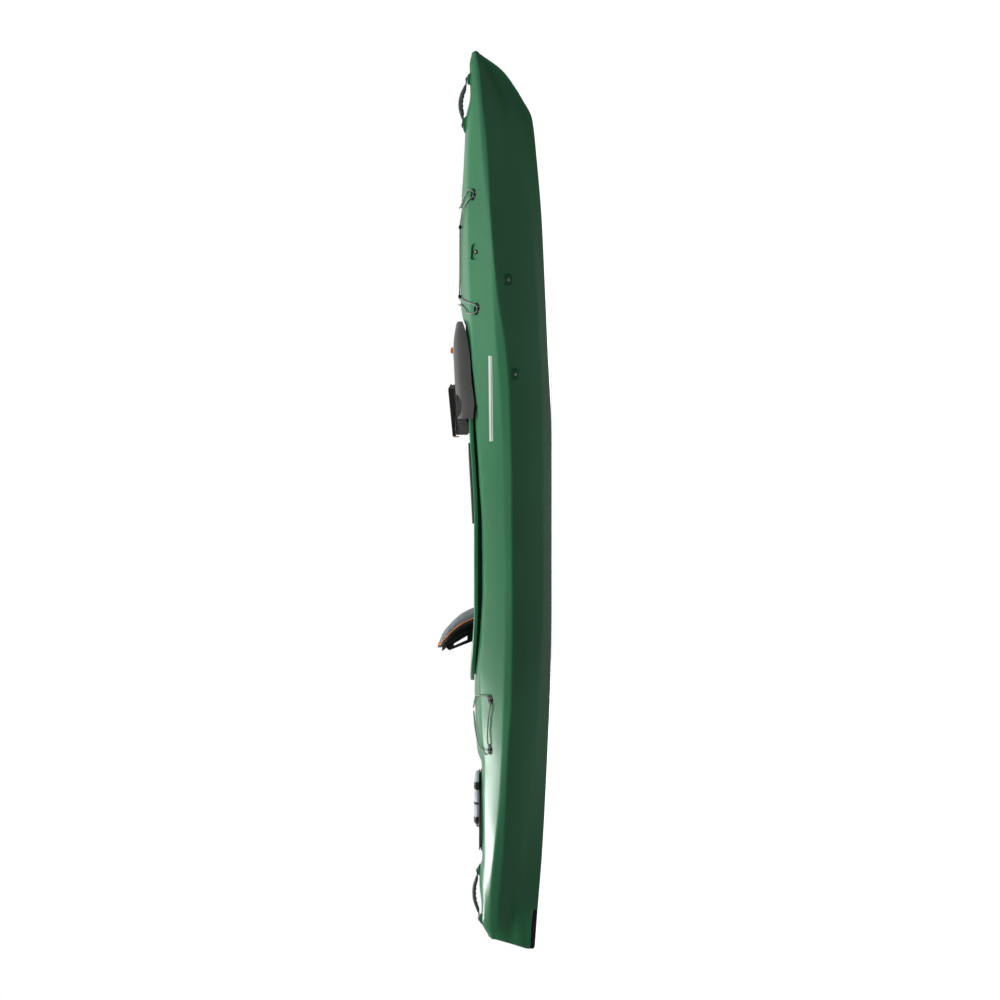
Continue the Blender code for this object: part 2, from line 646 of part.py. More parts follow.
def carry_handles():
    """Bowed soft grips whose flat feet lie on the bosses, each held by two screws."""
    foot = HANDLE_FOOT
    specs = [
        ("bow_handle", 1.550, 0.3655, 1.738, 0.3485, 0.0225, 0.0205, 0.014),
        ("stern_handle", -1.730, 0.2965, -1.5325, 0.3045, 0.0215, 0.0165, 0.013),
    ]
    for name, rear_x, rear_z, front_x, front_z, rise, thick, half_width in specs:
        steps = 14
        upper, lower = [], []
        for k in range(steps + 1):
            t = k / steps
            x = mix(rear_x + 0.0225, front_x - 0.0175, t)
            base = mix(rear_z, front_z, t) + GAP
            wave = math.sin(math.pi * t)
            upper.append((x, base + foot + rise * (0.62 * wave ** 0.7 + 0.35 * wave)))
            lower.append((x, base + max(0.0, rise * wave ** 0.7 - thick + foot)))
        outline = [(rear_x - 0.012, rear_z + GAP), (rear_x - 0.012, rear_z + GAP + foot)]
        outline += upper
        outline += [(front_x + 0.012, front_z + GAP + foot), (front_x + 0.012, front_z + GAP)]
        outline += list(reversed(lower))
        grip = add_object(name, side_prism(outline, -half_width, half_width), "grip_slate")
        holes = [turned([(HANDLE_SCREW_RADIUS + GAP, -0.01), (HANDLE_SCREW_RADIUS + GAP, 0.03)],
                        Matrix.Translation(point), 10)
                 for screw, point in handle_screws() if screw.startswith(name.split("_")[0])]
        boolean(grip, "DIFFERENCE", add_cutter(name + "_holes", merged(holes)))
    for name, point in handle_screws():
        profile = [(HANDLE_SCREW_RADIUS, -0.010), (HANDLE_SCREW_RADIUS, foot + 2 * GAP),
                   (0.0055, foot + 2 * GAP), (0.0045, foot + 0.0030), (0.0015, foot + 0.0036)]
        add_object(name, turned(profile, Matrix.Translation(point), 10), "stainless")


def deck_eyes():
    """Plastic eyes in the recesses: an oval plate with an arch that the shock cord runs through."""
    for name, place, length, width in hull_fittings():
        if "_eye_" not in name:
            continue
        floor = place @ Matrix.Translation((0, 0, -POCKET_DEPTH + GAP))
        rim = width - 0.004
        plate = turned([(rim, 0.0), (rim, 0.003)], floor, 14, (length - 0.004) / rim)
        eye = add_object(name, plate, "dark_plastic")
        arch = [Vector((0, -0.0065, 0.001)), Vector((0, -0.0065, 0.0065))]
        arch += [Vector((0, -0.0065 * math.cos(a), 0.0065 + 0.0065 * math.sin(a)))
                 for a in (math.pi * k / 6 for k in range(1, 6))]
        arch += [Vector((0, 0.0065, 0.0065)), Vector((0, 0.0065, 0.001))]
        bar = tube([floor @ point for point in arch], 0.0022, 6)
        boolean(eye, "UNION", add_cutter(name + "_arch", bar))


def accessory_caps():
    for name, place, _, _ in hull_fittings():
        if not name.startswith("accessory_cap"):
            continue
        floor = place @ Matrix.Translation((0, 0, -POCKET_DEPTH + GAP))
        profile = [(0.010, 0.0), (0.010, 0.002), (0.0065, 0.0045), (0.002, 0.0052)]
        add_object(name, turned(profile, floor, 14), "dark_plastic")


def cord_point(place):
    """Where the shock cord's centre passes an eye."""
    return place @ Vector((0, 0, -POCKET_DEPTH + GAP + 0.0066))


def smooth_route(points, spacing):
    """An endless smooth curve through the route's own points, evenly sampled."""
    total = len(points)
    sampled = []
    for i in range(total):
        p0, p1, p2, p3 = (points[(i + k) % total] for k in (-1, 0, 1, 2))
        steps = max(1, round((p2 - p1).length / spacing))
        for k in range(steps):
            t = k / steps
            sampled.append(0.5 * (
                2 * p1 + (p2 - p0) * t + (2 * p0 - 5 * p1 + 4 * p2 - p3) * t * t
                + (3 * p1 - p0 - 3 * p2 + p3) * t ** 3
            ))
    return sampled


def cord_object(name, points):
    curve = bpy.data.curves.new(name, "CURVE")
    curve.dimensions = "3D"
    curve.bevel_depth = BUNGEE_RADIUS
    curve.bevel_resolution = 2
    spline = curve.splines.new("POLY")
    spline.points.add(len(points) - 1)
    for slot, point in zip(spline.points, points):
        slot.co = (*point, 1.0)
    spline.use_cyclic_u = True
    made = bpy.data.objects.new(name, curve)
    bpy.context.scene.collection.objects.link(made)
    curve.materials.append(material("bungee_grey"))


def crossing(stops, start_side):
    """Points of a strand that lies over the deck; stops give x and y from one eye to the deck's middle."""
    lifts = [0.0090] + [0.0068] * (len(stops) - 1)
    near = [on_deck(x, start_side * y, lift) for (x, y), lift in zip(stops, lifts)]
    far = [on_deck(x, -start_side * y, lift) for (x, y), lift in zip(stops, lifts)]
    return near + list(reversed(far[:-1]))


def eye_passage(place, stern_exit, bow_exit):
    """Points through an eye, stern side first; each end leaves along the boat or up the deck."""
    centre = cord_point(place)
    turn = place.to_3x3()
    ahead, out = (turn @ Vector(axis) for axis in ((1, 0, 0), (0, 0, 1)))
    up = turn @ Vector((0, 1, 0))
    if up.z < 0:
        up = -up

    def leave(way, exit_name):
        if exit_name == "along":
            return [centre + ahead * way * 0.012 + out * 0.0010, centre + ahead * way * 0.030 + out * 0.0095]
        return [centre + ahead * way * 0.012 + up * 0.003 + out * 0.0018,
                centre + ahead * way * 0.019 + up * 0.016 + out * 0.0108]

    return list(reversed(leave(-1, stern_exit))) + [centre] + leave(1, bow_exit)


def side_run(start, end):
    """Points of a strand along the deck's flank between two eyes on one side."""
    points = []
    side = 1 if start.y > 0 else -1
    for k in (1, 2, 3):
        t = k / 4
        x = mix(start.x, end.x, t)
        point, normal = side_point(x, mix(start.z, end.z, t))
        points.append(mirrored(point + normal * 0.0050, side))
    return points


def bungees():
    places = {name: place for name, place, _, _ in hull_fittings()}
    for group, spacing in (("rear", 0.040), ("front", 0.045)):
        exits = [("up", "along"), ("along", "up")] if group == "rear" else [("up", "up"), ("up", "up")]
        route = []
        for side_name, side in SIDES:
            first, second = (
                eye_passage(places[f"{group}_eye_{side_name}_{number}"], *exits[number - 1])
                for number in (1, 2)
            )
            between = side_run(first[-1], second[0]) if group == "rear" else front_deck_run(side)
            strand = first + between + second
            if side == 1:
                route = strand + crossing(CROSSINGS[group][1], 1)
            else:
                route += list(reversed(strand)) + crossing(CROSSINGS[group][0], -1)
        cord_object(f"{group}_bungee", smooth_route(route, spacing))


def front_deck_run(side):
    """The strand that climbs to the deck's crown, runs forward through two beads, and comes down again."""
    points = []
    stops = [(0.812, 0.188, 0.0085), (0.818, 0.140, 0.0072), (0.828, 0.080, 0.0068),
             (BEAD_XS[0], BEAD_Y, 0.0068), (0.93, BEAD_Y, 0.0068), (1.03, BEAD_Y, 0.0068),
             (BEAD_XS[1], BEAD_Y, 0.0068), (1.160, 0.050, 0.0070), (1.198, 0.084, 0.0080)]
    centres = [on_deck(x, side * y, lift) for x, y, lift in stops]
    for i, centre in enumerate(centres):
        if stops[i][0] in BEAD_XS:
            ahead = (centres[i + 1] - centres[i - 1]).normalized()
            points += [centre - ahead * 0.011, centre, centre + ahead * 0.011]
        else:
            points.append(centre)
    return points


def bungee_beads():
    for side_name, side in SIDES:
        route = front_deck_run(side)
        for number, index in enumerate(BEAD_STOPS, 1):
            ahead = (route[index + 1] - route[index - 1]).normalized()
            place = Matrix.Translation(route[index]) @ frame_along(ahead, Vector((0, 0, 1)))
            profile = [(0.0048, -0.0065), (0.0057, -0.0052), (0.0062, 0.0), (0.0057, 0.0052),
                       (0.0048, 0.0065)]
            bead = add_object(f"bungee_bead_{side_name}_{number}", turned(profile, place, 10), "rubber_black")
            bore = turned([(0.0033 + GAP, -0.02), (0.0033 + GAP, 0.02)], place, 10)
            boolean(bead, "DIFFERENCE", add_cutter(bead.name + "_bore", bore))


def skid_plate():
    """Replaceable wear plate at the foot of the stern."""
    half = 0.0105
    outline = [(-1.8455, 0.0690), (-1.8555, 0.0745), (-1.8555, 0.0890), (SKID_FRONT_X - GAP, 0.0785 - GAP),
               (SKID_FRONT_X - GAP, 0.0578)]
    add_object("skid_plate", side_prism(outline, -half, half), "rubber_black")


# ---------------------------------------------------------------- rear hatch and bulkhead
def hatch_ring(half_length, half_width, band, z_low, z_high, count=32):
    outer = oval(HATCH_X, half_length, half_width, count, 2.3)
    inner = oval(HATCH_X, half_length - band, half_width - band, count, 2.3)
    rings = []
    for (x0, y0), (x1, y1) in zip(outer, inner):
        corners = [(x0, y0, z_low), (x0, y0, z_high), (x1, y1, z_high), (x1, y1, z_low)]
        rings.append([Vector(corner) for corner in corners])
    return ring_loft(rings)


def rear_hatch():
    base = HATCH_SEAT_Z + GAP
    rim = hatch_ring(HATCH_HALF_LENGTH, HATCH_HALF_WIDTH, 0.029, base, base + 0.0035)
    add_object("hatch_rim", rim, "dark_plastic")
    seal = base + 0.0035 + GAP
    gasket = hatch_ring(HATCH_HALF_LENGTH - 0.010, HATCH_HALF_WIDTH - 0.010, 0.012, seal, seal + 0.0018)
    add_object("hatch_gasket", gasket, "rubber_black")
    low = seal + 0.0018 + GAP
    outline = oval(HATCH_X, HATCH_HALF_LENGTH - 0.001, HATCH_HALF_WIDTH - 0.001, 32, 2.3)
    narrow = oval(HATCH_X, HATCH_HALF_LENGTH - 0.004, HATCH_HALF_WIDTH - 0.004, 32, 2.3)
    rings = [[Vector((x, y, low)) for x, y in outline], [Vector((x, y, low + 0.0035)) for x, y in outline],
             [Vector((x, y, low + 0.0052)) for x, y in narrow]]
    add_object("hatch_cover", loft(bmesh.new(), rings), "dark_plastic")
    panel_low = low + 0.0052 + GAP
    centre = (HATCH_PANEL[0] + HATCH_PANEL[1]) / 2
    half_length = (HATCH_PANEL[1] - HATCH_PANEL[0]) / 2
    rings = []
    for inset, height in ((0.0, 0.0), (0.0, 0.008), (0.004, 0.0125), (0.018, 0.0165), (0.045, 0.0185)):
        shape = oval(centre, half_length - inset, HATCH_HALF_WIDTH - 0.012 - inset, 32, 2.8)
        rings.append([Vector((x, y, panel_low + height)) for x, y in shape])
    add_object("hatch_panel", loft(bmesh.new(), rings), "hatch_light")


def inner_half(x, clearance):
    return inset_ring(section_at(x), SKIN + clearance)


def bulkhead():
    """Foam wall that closes the rear compartment, shaped to the inside of the hull."""
    rings = [full_ring(inner_half(x, 0.003)) for x in BULKHEAD_X]
    add_object("rear_bulkhead", loft(bmesh.new(), rings), "foam_grey")


def bow_pillar():
    """Upright foam pillar under the front deck that keeps the deck and the hull apart."""
    rings = []
    for x in (0.98, 1.10, 1.22, 1.34):
        half_width = 0.030
        floor = floor_height(x, half_width) + SKIN + 0.0030
        roof = deck_height(x, half_width) - SKIN - 0.0040
        rings.append([Vector((x, -half_width, floor)), Vector((x, half_width, floor)),
                      Vector((x, half_width, roof)), Vector((x, -half_width, roof))])
    add_object("bow_foam_pillar", loft(bmesh.new(), rings), "foam_grey")


# ---------------------------------------------------------------- seat
def seat_top(x, y):
    """Height of the moulded seat's upper surface."""
    along = (x - SEAT_REAR_X) / (SEAT_FRONT_X - SEAT_REAR_X)
    dish = 0.016 * (abs(y) / SEAT_HALF_WIDTH) ** 2
    rise = 0.020 * along ** 2 + 0.006 * (1 - along) ** 2
    return 0.062 + dish + rise


def seat_base():
    rings = []
    columns = [-1.0, -0.8, -0.5, 0.0, 0.5, 0.8, 1.0]
    for x in (SEAT_REAR_X - 0.005, -0.38, -0.28, -0.18, SEAT_FRONT_X + 0.005):
        bottom = []
        for c in columns:
            y = c * SEAT_HALF_WIDTH
            bottom.append(Vector((x, y, floor_height(x, y) + SKIN + 0.0012)))
        top = [Vector((x, c * SEAT_HALF_WIDTH, seat_top(x, c * SEAT_HALF_WIDTH))) for c in reversed(columns)]
        rings.append(bottom + top)
    base = add_object("seat_base", loft(bmesh.new(), rings), "seat_plastic")
    for side_name, side in SIDES:
        inner, outer = side * SEAT_EAR[0], side * SEAT_EAR[1]
        ear = [(-0.476, 0.055), (-0.476, 0.126), (-0.466, 0.137), (-0.444, 0.137), (-0.434, 0.126),
               (-0.400, 0.055)]
        boolean(base, "UNION", add_cutter(f"seat_ear_{side_name}", side_prism(ear, inner, outer)))
    bore = cross_tube(BACK_AXIS, 0.3, HINGE_PIN_RADIUS + GAP, 12)
    boolean(base, "DIFFERENCE", add_cutter("seat_hinge_bore", bore))


def seat_cushion():
    rings = []
    columns = [-1.0, -0.9, -0.5, 0.0, 0.5, 0.9, 1.0]
    for x, part in ((-0.415, 0.45), (-0.400, 1.0), (-0.30, 1.0), (-0.20, 1.0), (-0.085, 1.0), (-0.068, 0.45)):
        bottom = [Vector((x, c * 0.160, seat_top(x, c * SEAT_HALF_WIDTH) + GAP + 0.0012)) for c in columns]
        top = []
        for c in reversed(columns):
            thickness = 0.034 * part * (1 - 0.45 * c ** 6)
            top.append(Vector((x, c * 0.160, seat_top(x, c * SEAT_HALF_WIDTH) + GAP + 0.0012 + thickness)))
        rings.append(bottom + top)
    add_object("seat_cushion", loft(bmesh.new(), rings), "seat_fabric")


def back_surface(line, z, y):
    return on_line(line, z) - BACK_WRAP * (1 - (abs(y) / BACK_HALF_WIDTH) ** 2)


def back_width(z):
    """Half-breadth of the backrest, narrower at its foot and rounded at its top."""
    parts = [(0.112, 0.80), (0.20, 0.93), (0.32, 1.0), (0.42, 0.98), (0.450, 0.90), (0.470, 0.66)]
    return BACK_HALF_WIDTH * on_line(parts, z)


def back_slab(line, z_levels, front_offset, rear_offset, width_trim):
    """A curved panel between two surfaces that follow the backrest's line, given level by level."""
    rings = []
    columns = [-1.0, -0.75, -0.4, 0.0, 0.4, 0.75, 1.0]
    for z in z_levels:
        half = back_width(z) - width_trim
        rear = [Vector((back_surface(line, z, c * half) + rear_offset, c * half, z)) for c in columns]
        front = [Vector((back_surface(line, z, c * half) + front_offset, c * half, z))
                 for c in reversed(columns)]
        rings.append(rear + front)
    return loft(bmesh.new(), rings)


def backrest():
    levels = [0.150, 0.20, 0.25, 0.30, 0.341, 0.376, 0.403, 0.430, 0.452]
    shell = back_slab(BACK_SHELL_LINE, levels, 0.009, 0.0, 0.0)
    shell = add_object("back_shell", shell, "seat_plastic", BACK_AXIS)
    for side_name, side in SIDES:
        low, high = side * (SEAT_EAR[0] - 0.010), side * (SEAT_EAR[0] - 0.001)
        arm = [(-0.466, 0.110), (-0.444, 0.110), (-0.441, 0.130), (-0.444, 0.146), (-0.461, 0.149),
               (-0.4660, 0.200), (-0.473, 0.235), (-0.484, 0.235), (-0.478, 0.150)]
        boolean(shell, "UNION", add_cutter(f"back_arm_{side_name}", side_prism(arm, low, high)))
    bore = cross_tube(BACK_AXIS, 0.3, HINGE_PIN_RADIUS + GAP, 12)
    boolean(shell, "DIFFERENCE", add_cutter("back_hinge_bore", bore))

    levels = [0.170, 0.182, 0.20, 0.24, 0.28, 0.3226, 0.366, 0.393, 0.4177, 0.4446, 0.458, 0.466]
    columns = [-1.0, -0.93, -0.75, -0.4, 0.0, 0.4, 0.75, 0.93, 1.0]
    rings = []
    for z in levels:
        half = back_width(z) - 0.003
        rear, front = [], []
        for c in columns:
            shell_front = back_surface(BACK_SHELL_LINE, z, c * half) + 0.009 + 0.0022
            pad_front = back_surface(BACK_PAD_LINE, z, c * half)
            edge = 1 - 0.45 * abs(c) ** 8
            if z > 0.452:
                shell_front = back_surface(BACK_SHELL_LINE, 0.459, c * half) + 0.004 + (z - 0.452)
            rear.append(Vector((shell_front, c * half, z)))
            front.append(Vector((mix(shell_front, max(pad_front, shell_front + 0.010), edge), c * half, z)))
        rings.append(rear + list(reversed(front)))
    add_object("back_pad", loft(bmesh.new(), rings), "seat_fabric", BACK_AXIS)

    frame = add_object("back_frame", back_frame_plate(1), "seat_plastic", BACK_AXIS)
    boolean(frame, "UNION", add_cutter("back_frame_twin", back_frame_plate(-1)))
    for number, (x, z) in enumerate([(-0.612, 0.424), (-0.566, 0.330)], 1):
        bar = tube([Vector((x, -BACK_FRAME_Y - 0.004, z)), Vector((x, BACK_FRAME_Y + 0.004, z))], 0.006, 8)
        boolean(frame, "UNION", add_cutter(f"back_frame_bar_{number}", bar))
    windows = []
    for side in (1, -1):
        window = [(-0.6040, 0.4040), (-0.5935, 0.4040), (-0.5600, 0.3480), (-0.5790, 0.3480)]
        windows.append(side_prism(window, side * BACK_FRAME_Y - 0.02, side * BACK_FRAME_Y + 0.02))
    boolean(frame, "DIFFERENCE", add_cutter("back_frame_windows", merged(windows)))


def back_frame_plate(side):
    """One upright of the frame behind the backrest's shell, shaped to sit against the shell."""
    outline = [(-0.620, 0.4219), (-0.6100, 0.4340)]
    for z in (0.430, 0.403, 0.376, 0.341, 0.3247):
        outline.append((back_surface(BACK_SHELL_LINE, z, BACK_FRAME_Y + 0.0045) - 0.0028, z))
    outline += [(-0.581, 0.3226)]
    return side_prism(outline, side * BACK_FRAME_Y - 0.004, side * BACK_FRAME_Y + 0.004)


def hinge_pins():
    for side_name, side in SIDES:
        inner = Vector((BACK_AXIS.x, side * (SEAT_EAR[0] - 0.010), BACK_AXIS.z))
        outward = frame_along(Vector((0, side, 0)))
        profile = [(HINGE_PIN_RADIUS, 0.0), (HINGE_PIN_RADIUS, 0.0195), (0.007, 0.0195), (0.007, 0.0225)]
        pin = turned(profile, Matrix.Translation(inner) @ outward, 12)
        add_object(f"back_hinge_pin_{side_name}", pin, "stainless")


def thigh_pads():
    """Foam pads over the inner edge of the coaming, one on each side."""
    for side_name, side in SIDES:
        rings = []
        for k in range(9):
            x = mix(-0.097, 0.234, k / 8)
            inner = lip_half_width(x) - COAMING_LIP
            top = on_line(RIM_HEIGHT, x)
            taper = 0.35 + 0.65 * math.sin(math.pi * mix(0.08, 0.92, k / 8)) ** 0.5
            thick = 0.0085 * taper
            drop = 0.070 * taper
            section = [
                (inner + 0.020, top + 0.0012), (inner - 0.0016, top + 0.0012), (inner - 0.0030, top - drop),
                (inner - 0.0030 - thick, top - drop), (inner - 0.0016 - thick, top - 0.004),
                (inner - 0.006, top + 0.0012 + thick), (inner + 0.020, top + 0.0012 + 0.7 * thick),
            ]
            rings.append([Vector((x, side * y, z)) for y, z in section])
        add_object(f"thigh_pad_{side_name}", loft(bmesh.new(), rings), "foam_grey")


# ---------------------------------------------------------------- foot braces
def rail_frame(side):
    """Placement of a rail: X along it to the bow, Y away from the boat's middle, origin on its outer face."""
    rear, front = (side_point(x, z)[0] for x, z in BRACE_SCREWS)
    out = brace_direction()
    middle = (rear + front) / 2 - out * BRACE_DEPTH
    along = (front - rear).normalized()
    up = along.cross(out)
    if up.z < 0:
        up = -up
    basis = Matrix((along, out, up)).transposed().to_4x4()
    whole = Matrix.Translation(middle) @ basis
    return Matrix.Diagonal((1, side, 1, 1)) @ whole


def local_box(place, low, high):
    """A box given in a placement's own axes."""
    corners = [(low[0], low[1]), (high[0], low[1]), (high[0], high[1]), (low[0], high[1])]
    rings = [[place @ Vector((x, y, z)) for x, y in corners] for z in (low[2], high[2])]
    return loft(bmesh.new(), rings)


def foot_braces():
    rear, front = (side_point(x, z)[0] for x, z in BRACE_SCREWS)
    half_span = (front - rear).length / 2
    for side_name, side in SIDES:
        place = rail_frame(side)
        rail = add_object(
            f"foot_rail_{side_name}",
            local_box(place, (-half_span - 0.016, -RAIL_THICKNESS, -RAIL_HALF_HEIGHT),
                      (half_span + 0.016, 0.0, RAIL_HALF_HEIGHT)), "dark_plastic")
        bores = [turned([(SCREW_RADIUS + GAP, -0.04), (SCREW_RADIUS + GAP, 0.01)], fit, 10)
                 for name, fit, _, _ in hull_fittings() if name.startswith(f"brace_screw_{side_name}")]
        boolean(rail, "DIFFERENCE", add_cutter(rail.name + "_bores", merged(bores)))

        inner = -RAIL_THICKNESS - 0.0006
        start = place @ Vector((0, inner, 0))
        pedal = local_box(place, (-0.026, inner - 0.010, -0.016), (0.026, inner, 0.016))
        pedal = add_object(f"foot_pedal_{side_name}", pedal, "dark_plastic", start)
        plate = local_box(place, (-0.026, inner - 0.088, -0.042), (-0.018, inner - 0.009, 0.050))
        rib = local_box(place, (-0.019, inner - 0.060, -0.004), (0.020, inner - 0.009, 0.004))
        boolean(pedal, "UNION", add_cutter(pedal.name + "_plate", plate))
        boolean(pedal, "UNION", add_cutter(pedal.name + "_rib", rib))

        hinge = place @ Vector((-0.0148, inner - 0.030, -0.009))
        trigger = local_box(place, (-0.0168, inner - 0.040, -0.040), (-0.0128, inner - 0.020, -0.008))
        add_object(f"foot_trigger_{side_name}", trigger, "orange_plastic", hinge)

    for name, place, _, _ in hull_fittings():
        if name.startswith("brace_screw"):
            floor = -POCKET_DEPTH + GAP
            profile = [(SCREW_RADIUS, -BRACE_DEPTH - 0.009), (SCREW_RADIUS, floor), (0.0068, floor),
                       (0.0068, floor + 0.0018), (0.0050, floor + 0.0036), (0.002, floor + 0.0042)]
            add_object(name, turned(profile, place, 10), "stainless")


# ---------------------------------------------------------------- console
def console_half_width(x):
    u = (x - COCKPIT_CENTRE_X) / (CONSOLE_FRONT_X + 0.012 - COCKPIT_CENTRE_X)
    return (COCKPIT_HALF_WIDTH + COAMING_LIP + 0.016) * max(0.0, 1 - u ** 2.6) ** (1 / 2.2)


def console_section(x, skin):
    """Arch of the console's body at a station, moved inwards by a skin, from one skirt to the other."""
    half = console_half_width(x) - skin
    low = on_line(CONSOLE_SKIRT, x)
    top = on_line(CONSOLE_TOP, x) - skin
    height = top - low
    shoulder = min(0.032, 0.45 * half)
    side = [(half, low), (half - 0.12 * shoulder, low + 0.45 * height),
            (half - 0.36 * shoulder, top - 0.22 * height), (half - shoulder, top - 0.05 * height)]
    points = [(-y, z) for y, z in side] + [(0.0, top)] + [(y, z) for y, z in reversed(side)]
    return [Vector((x, y, z)) for y, z in points]


def scoop_outline(grown):
    """Outline in x and z of the dip in the console's side beside a cup holder."""
    (x, z), (half_length, depth) = SCOOP_CENTRE, SCOOP_SIZE
    lower = [(x + (half_length + grown) * math.cos(a), z + (depth + grown) * math.sin(a))
             for a in (math.pi * (1 + k / 10) for k in range(11))]
    return lower + [(lower[-1][0], 0.46), (lower[0][0], 0.46)]


def console_body():
    stations = [CONSOLE_BODY_X, 0.39, 0.45, 0.51, 0.57, 0.62, 0.66, 0.69, 0.712, 0.728, CONSOLE_FRONT_X]
    outside = [console_section(x, 0.0) for x in stations]
    body = add_object("console_body", loft(bmesh.new(), outside), "console_grey")
    inner_stations = [CONSOLE_BODY_X - 0.02, 0.39, 0.45, 0.51, 0.57, 0.62, 0.66, 0.69, 0.712, 0.7295]
    inner = []
    for x in inner_stations:
        section = console_section(max(x, CONSOLE_BODY_X), CONSOLE_SKIN)
        section = [Vector((x, p.y, p.z)) for p in section]
        section[0].z -= 0.05
        section[-1].z -= 0.05
        inner.append(section)
    boolean(body, "DIFFERENCE", add_cutter("console_hollow", loft(bmesh.new(), inner)))

    tub = [(0.270, 0.348), (0.270, 0.3935), (0.456, 0.4093), (0.456, 0.300), (0.300, 0.300), (0.286, 0.335)]
    boolean(body, "UNION", add_cutter("console_tub", side_prism(tub, -0.100, 0.100)))
    wings, walls, bores = [], [], []
    for _, side in SIDES:
        inner_y, outer_y = sorted((side * 0.090, side * 0.262))
        wings.append(box((0.3185, inner_y, 0.350), (0.3520, outer_y, 0.3805)))
        cup = Matrix.Translation((CUP_X, side * CUP_Y, CUP_FLOOR_Z))
        outer = CUP_RADIUS + CONSOLE_SKIN
        walls.append(turned([(outer, -CONSOLE_SKIN), (outer, CUP_DEPTH)], cup, 20))
        bores.append(turned([(CUP_RADIUS, 0.0), (CUP_RADIUS, 0.2)], cup, 20))
    boolean(body, "UNION", add_cutter("console_wings", merged(wings)))
    boolean(body, "UNION", add_cutter("cup_walls", merged(walls)))
    troughs = [side_prism(scoop_outline(CONSOLE_SKIN), side * CUP_Y, side * 0.30) for _, side in SIDES]
    troughs = add_cutter("cup_troughs", merged(troughs))
    boolean(troughs, "INTERSECT", add_cutter("console_outside", loft(bmesh.new(), outside)))
    boolean(body, "UNION", troughs)
    scoops = merged([side_prism(scoop_outline(0.0), side * CUP_Y, side * 0.32) for _, side in SIDES])
    boolean(body, "DIFFERENCE", add_cutter("cup_scoops", scoops))
    boolean(body, "DIFFERENCE", add_cutter("cup_bores", merged(bores)))
    tub_inside = [(0.274, 0.350), (0.274, 0.50), (0.452, 0.50), (0.452, 0.304), (0.303, 0.304),
                  (0.290, 0.337)]
    boolean(body, "DIFFERENCE", add_cutter("tub_inside", side_prism(tub_inside, -0.096, 0.096)))
    for side_name, side in SIDES:
        ear = [(0.458, 0.390), (0.4585, 0.4135), (0.4620, 0.4180), (0.4700, 0.4180), (0.4735, 0.4135),
               (0.478, 0.390)]
        ear = side_prism(ear, side * 0.1048, side * 0.1110)
        boolean(body, "UNION", add_cutter(f"lid_ear_{side_name}", ear))
    bore = cross_tube(LID_AXIS, 0.13, LID_PIN_RADIUS + GAP, 10)
    boolean(body, "DIFFERENCE", add_cutter("lid_ear_bore", bore))
    notch = [(0.558, 0.420), (0.562, 0.3985), (0.573, 0.3985), (0.577, 0.420)]
    boolean(body, "DIFFERENCE", add_cutter("console_notch", side_prism(notch, -0.020, 0.020)))


def console_lid():
    outline = [(0.2645, 0.3945), (0.2645, 0.4085), (0.457, 0.4270), (0.478, 0.4162), (0.478, 0.4118),
               (0.457, 0.4102)]
    lid = add_object("console_lid", side_prism(outline, -0.104, 0.104), "dark_plastic", LID_AXIS)
    bore = cross_tube(LID_AXIS, 0.13, LID_PIN_RADIUS + GAP, 10)
    boolean(lid, "DIFFERENCE", add_cutter("lid_bore", bore))
    pin = cross_tube(LID_AXIS, 0.112, LID_PIN_RADIUS, 10)
    add_object("lid_hinge_pin", pin, "stainless")
    latch = [(0.2602, 0.3815), (0.2590, 0.3840), (0.2600, 0.4060), (0.2612, 0.4078), (0.2626, 0.4078),
             (0.2640, 0.4060), (0.2640, 0.3830), (0.2625, 0.3815)]
    add_object("lid_latch", side_prism(latch, -0.018, 0.018), "orange_plastic", LID_LATCH_AXIS)
    release = [(0.6060, 0.4072), (0.6290, 0.4072), (0.6320, 0.4095), (0.6290, 0.4165), (0.6120, 0.4185),
               (0.6045, 0.4130)]
    add_object("console_release", side_prism(release, -0.016, 0.016), "orange_plastic", RELEASE_AXIS)


def console_clips():
    """Small dark clips under the console's skirts, beside the coaming."""
    for side_name, side in SIDES:
        for number, x in enumerate((0.378, 0.482), 1):
            y = console_half_width(x)
            low = min(on_line(CONSOLE_SKIRT, x + along) for along in (-0.009, 0.009)) - 0.0012
            clip = [(y - 0.0040, low), (y + 0.0012, low), (y + 0.0006, low - 0.0045),
                    (y - 0.0036, low - 0.0045)]
            points = [Vector((x - 0.009, side * a, b)) for a, b in clip]
            block = prism(points, Vector((0.018, 0, 0)))
            add_object(f"console_clip_{side_name}_{number}", block, "rubber_black")


def build():
    clear_scene()
    hull_shell()
    carry_handles()
    deck_eyes()
    accessory_caps()
    bungees()
    bungee_beads()
    skid_plate()
    rear_hatch()
    bulkhead()
    bow_pillar()
    seat_base()
    seat_cushion()
    backrest()
    hinge_pins()
    thigh_pads()
    foot_braces()
    console_body()
    console_lid()
    console_clips()


build()
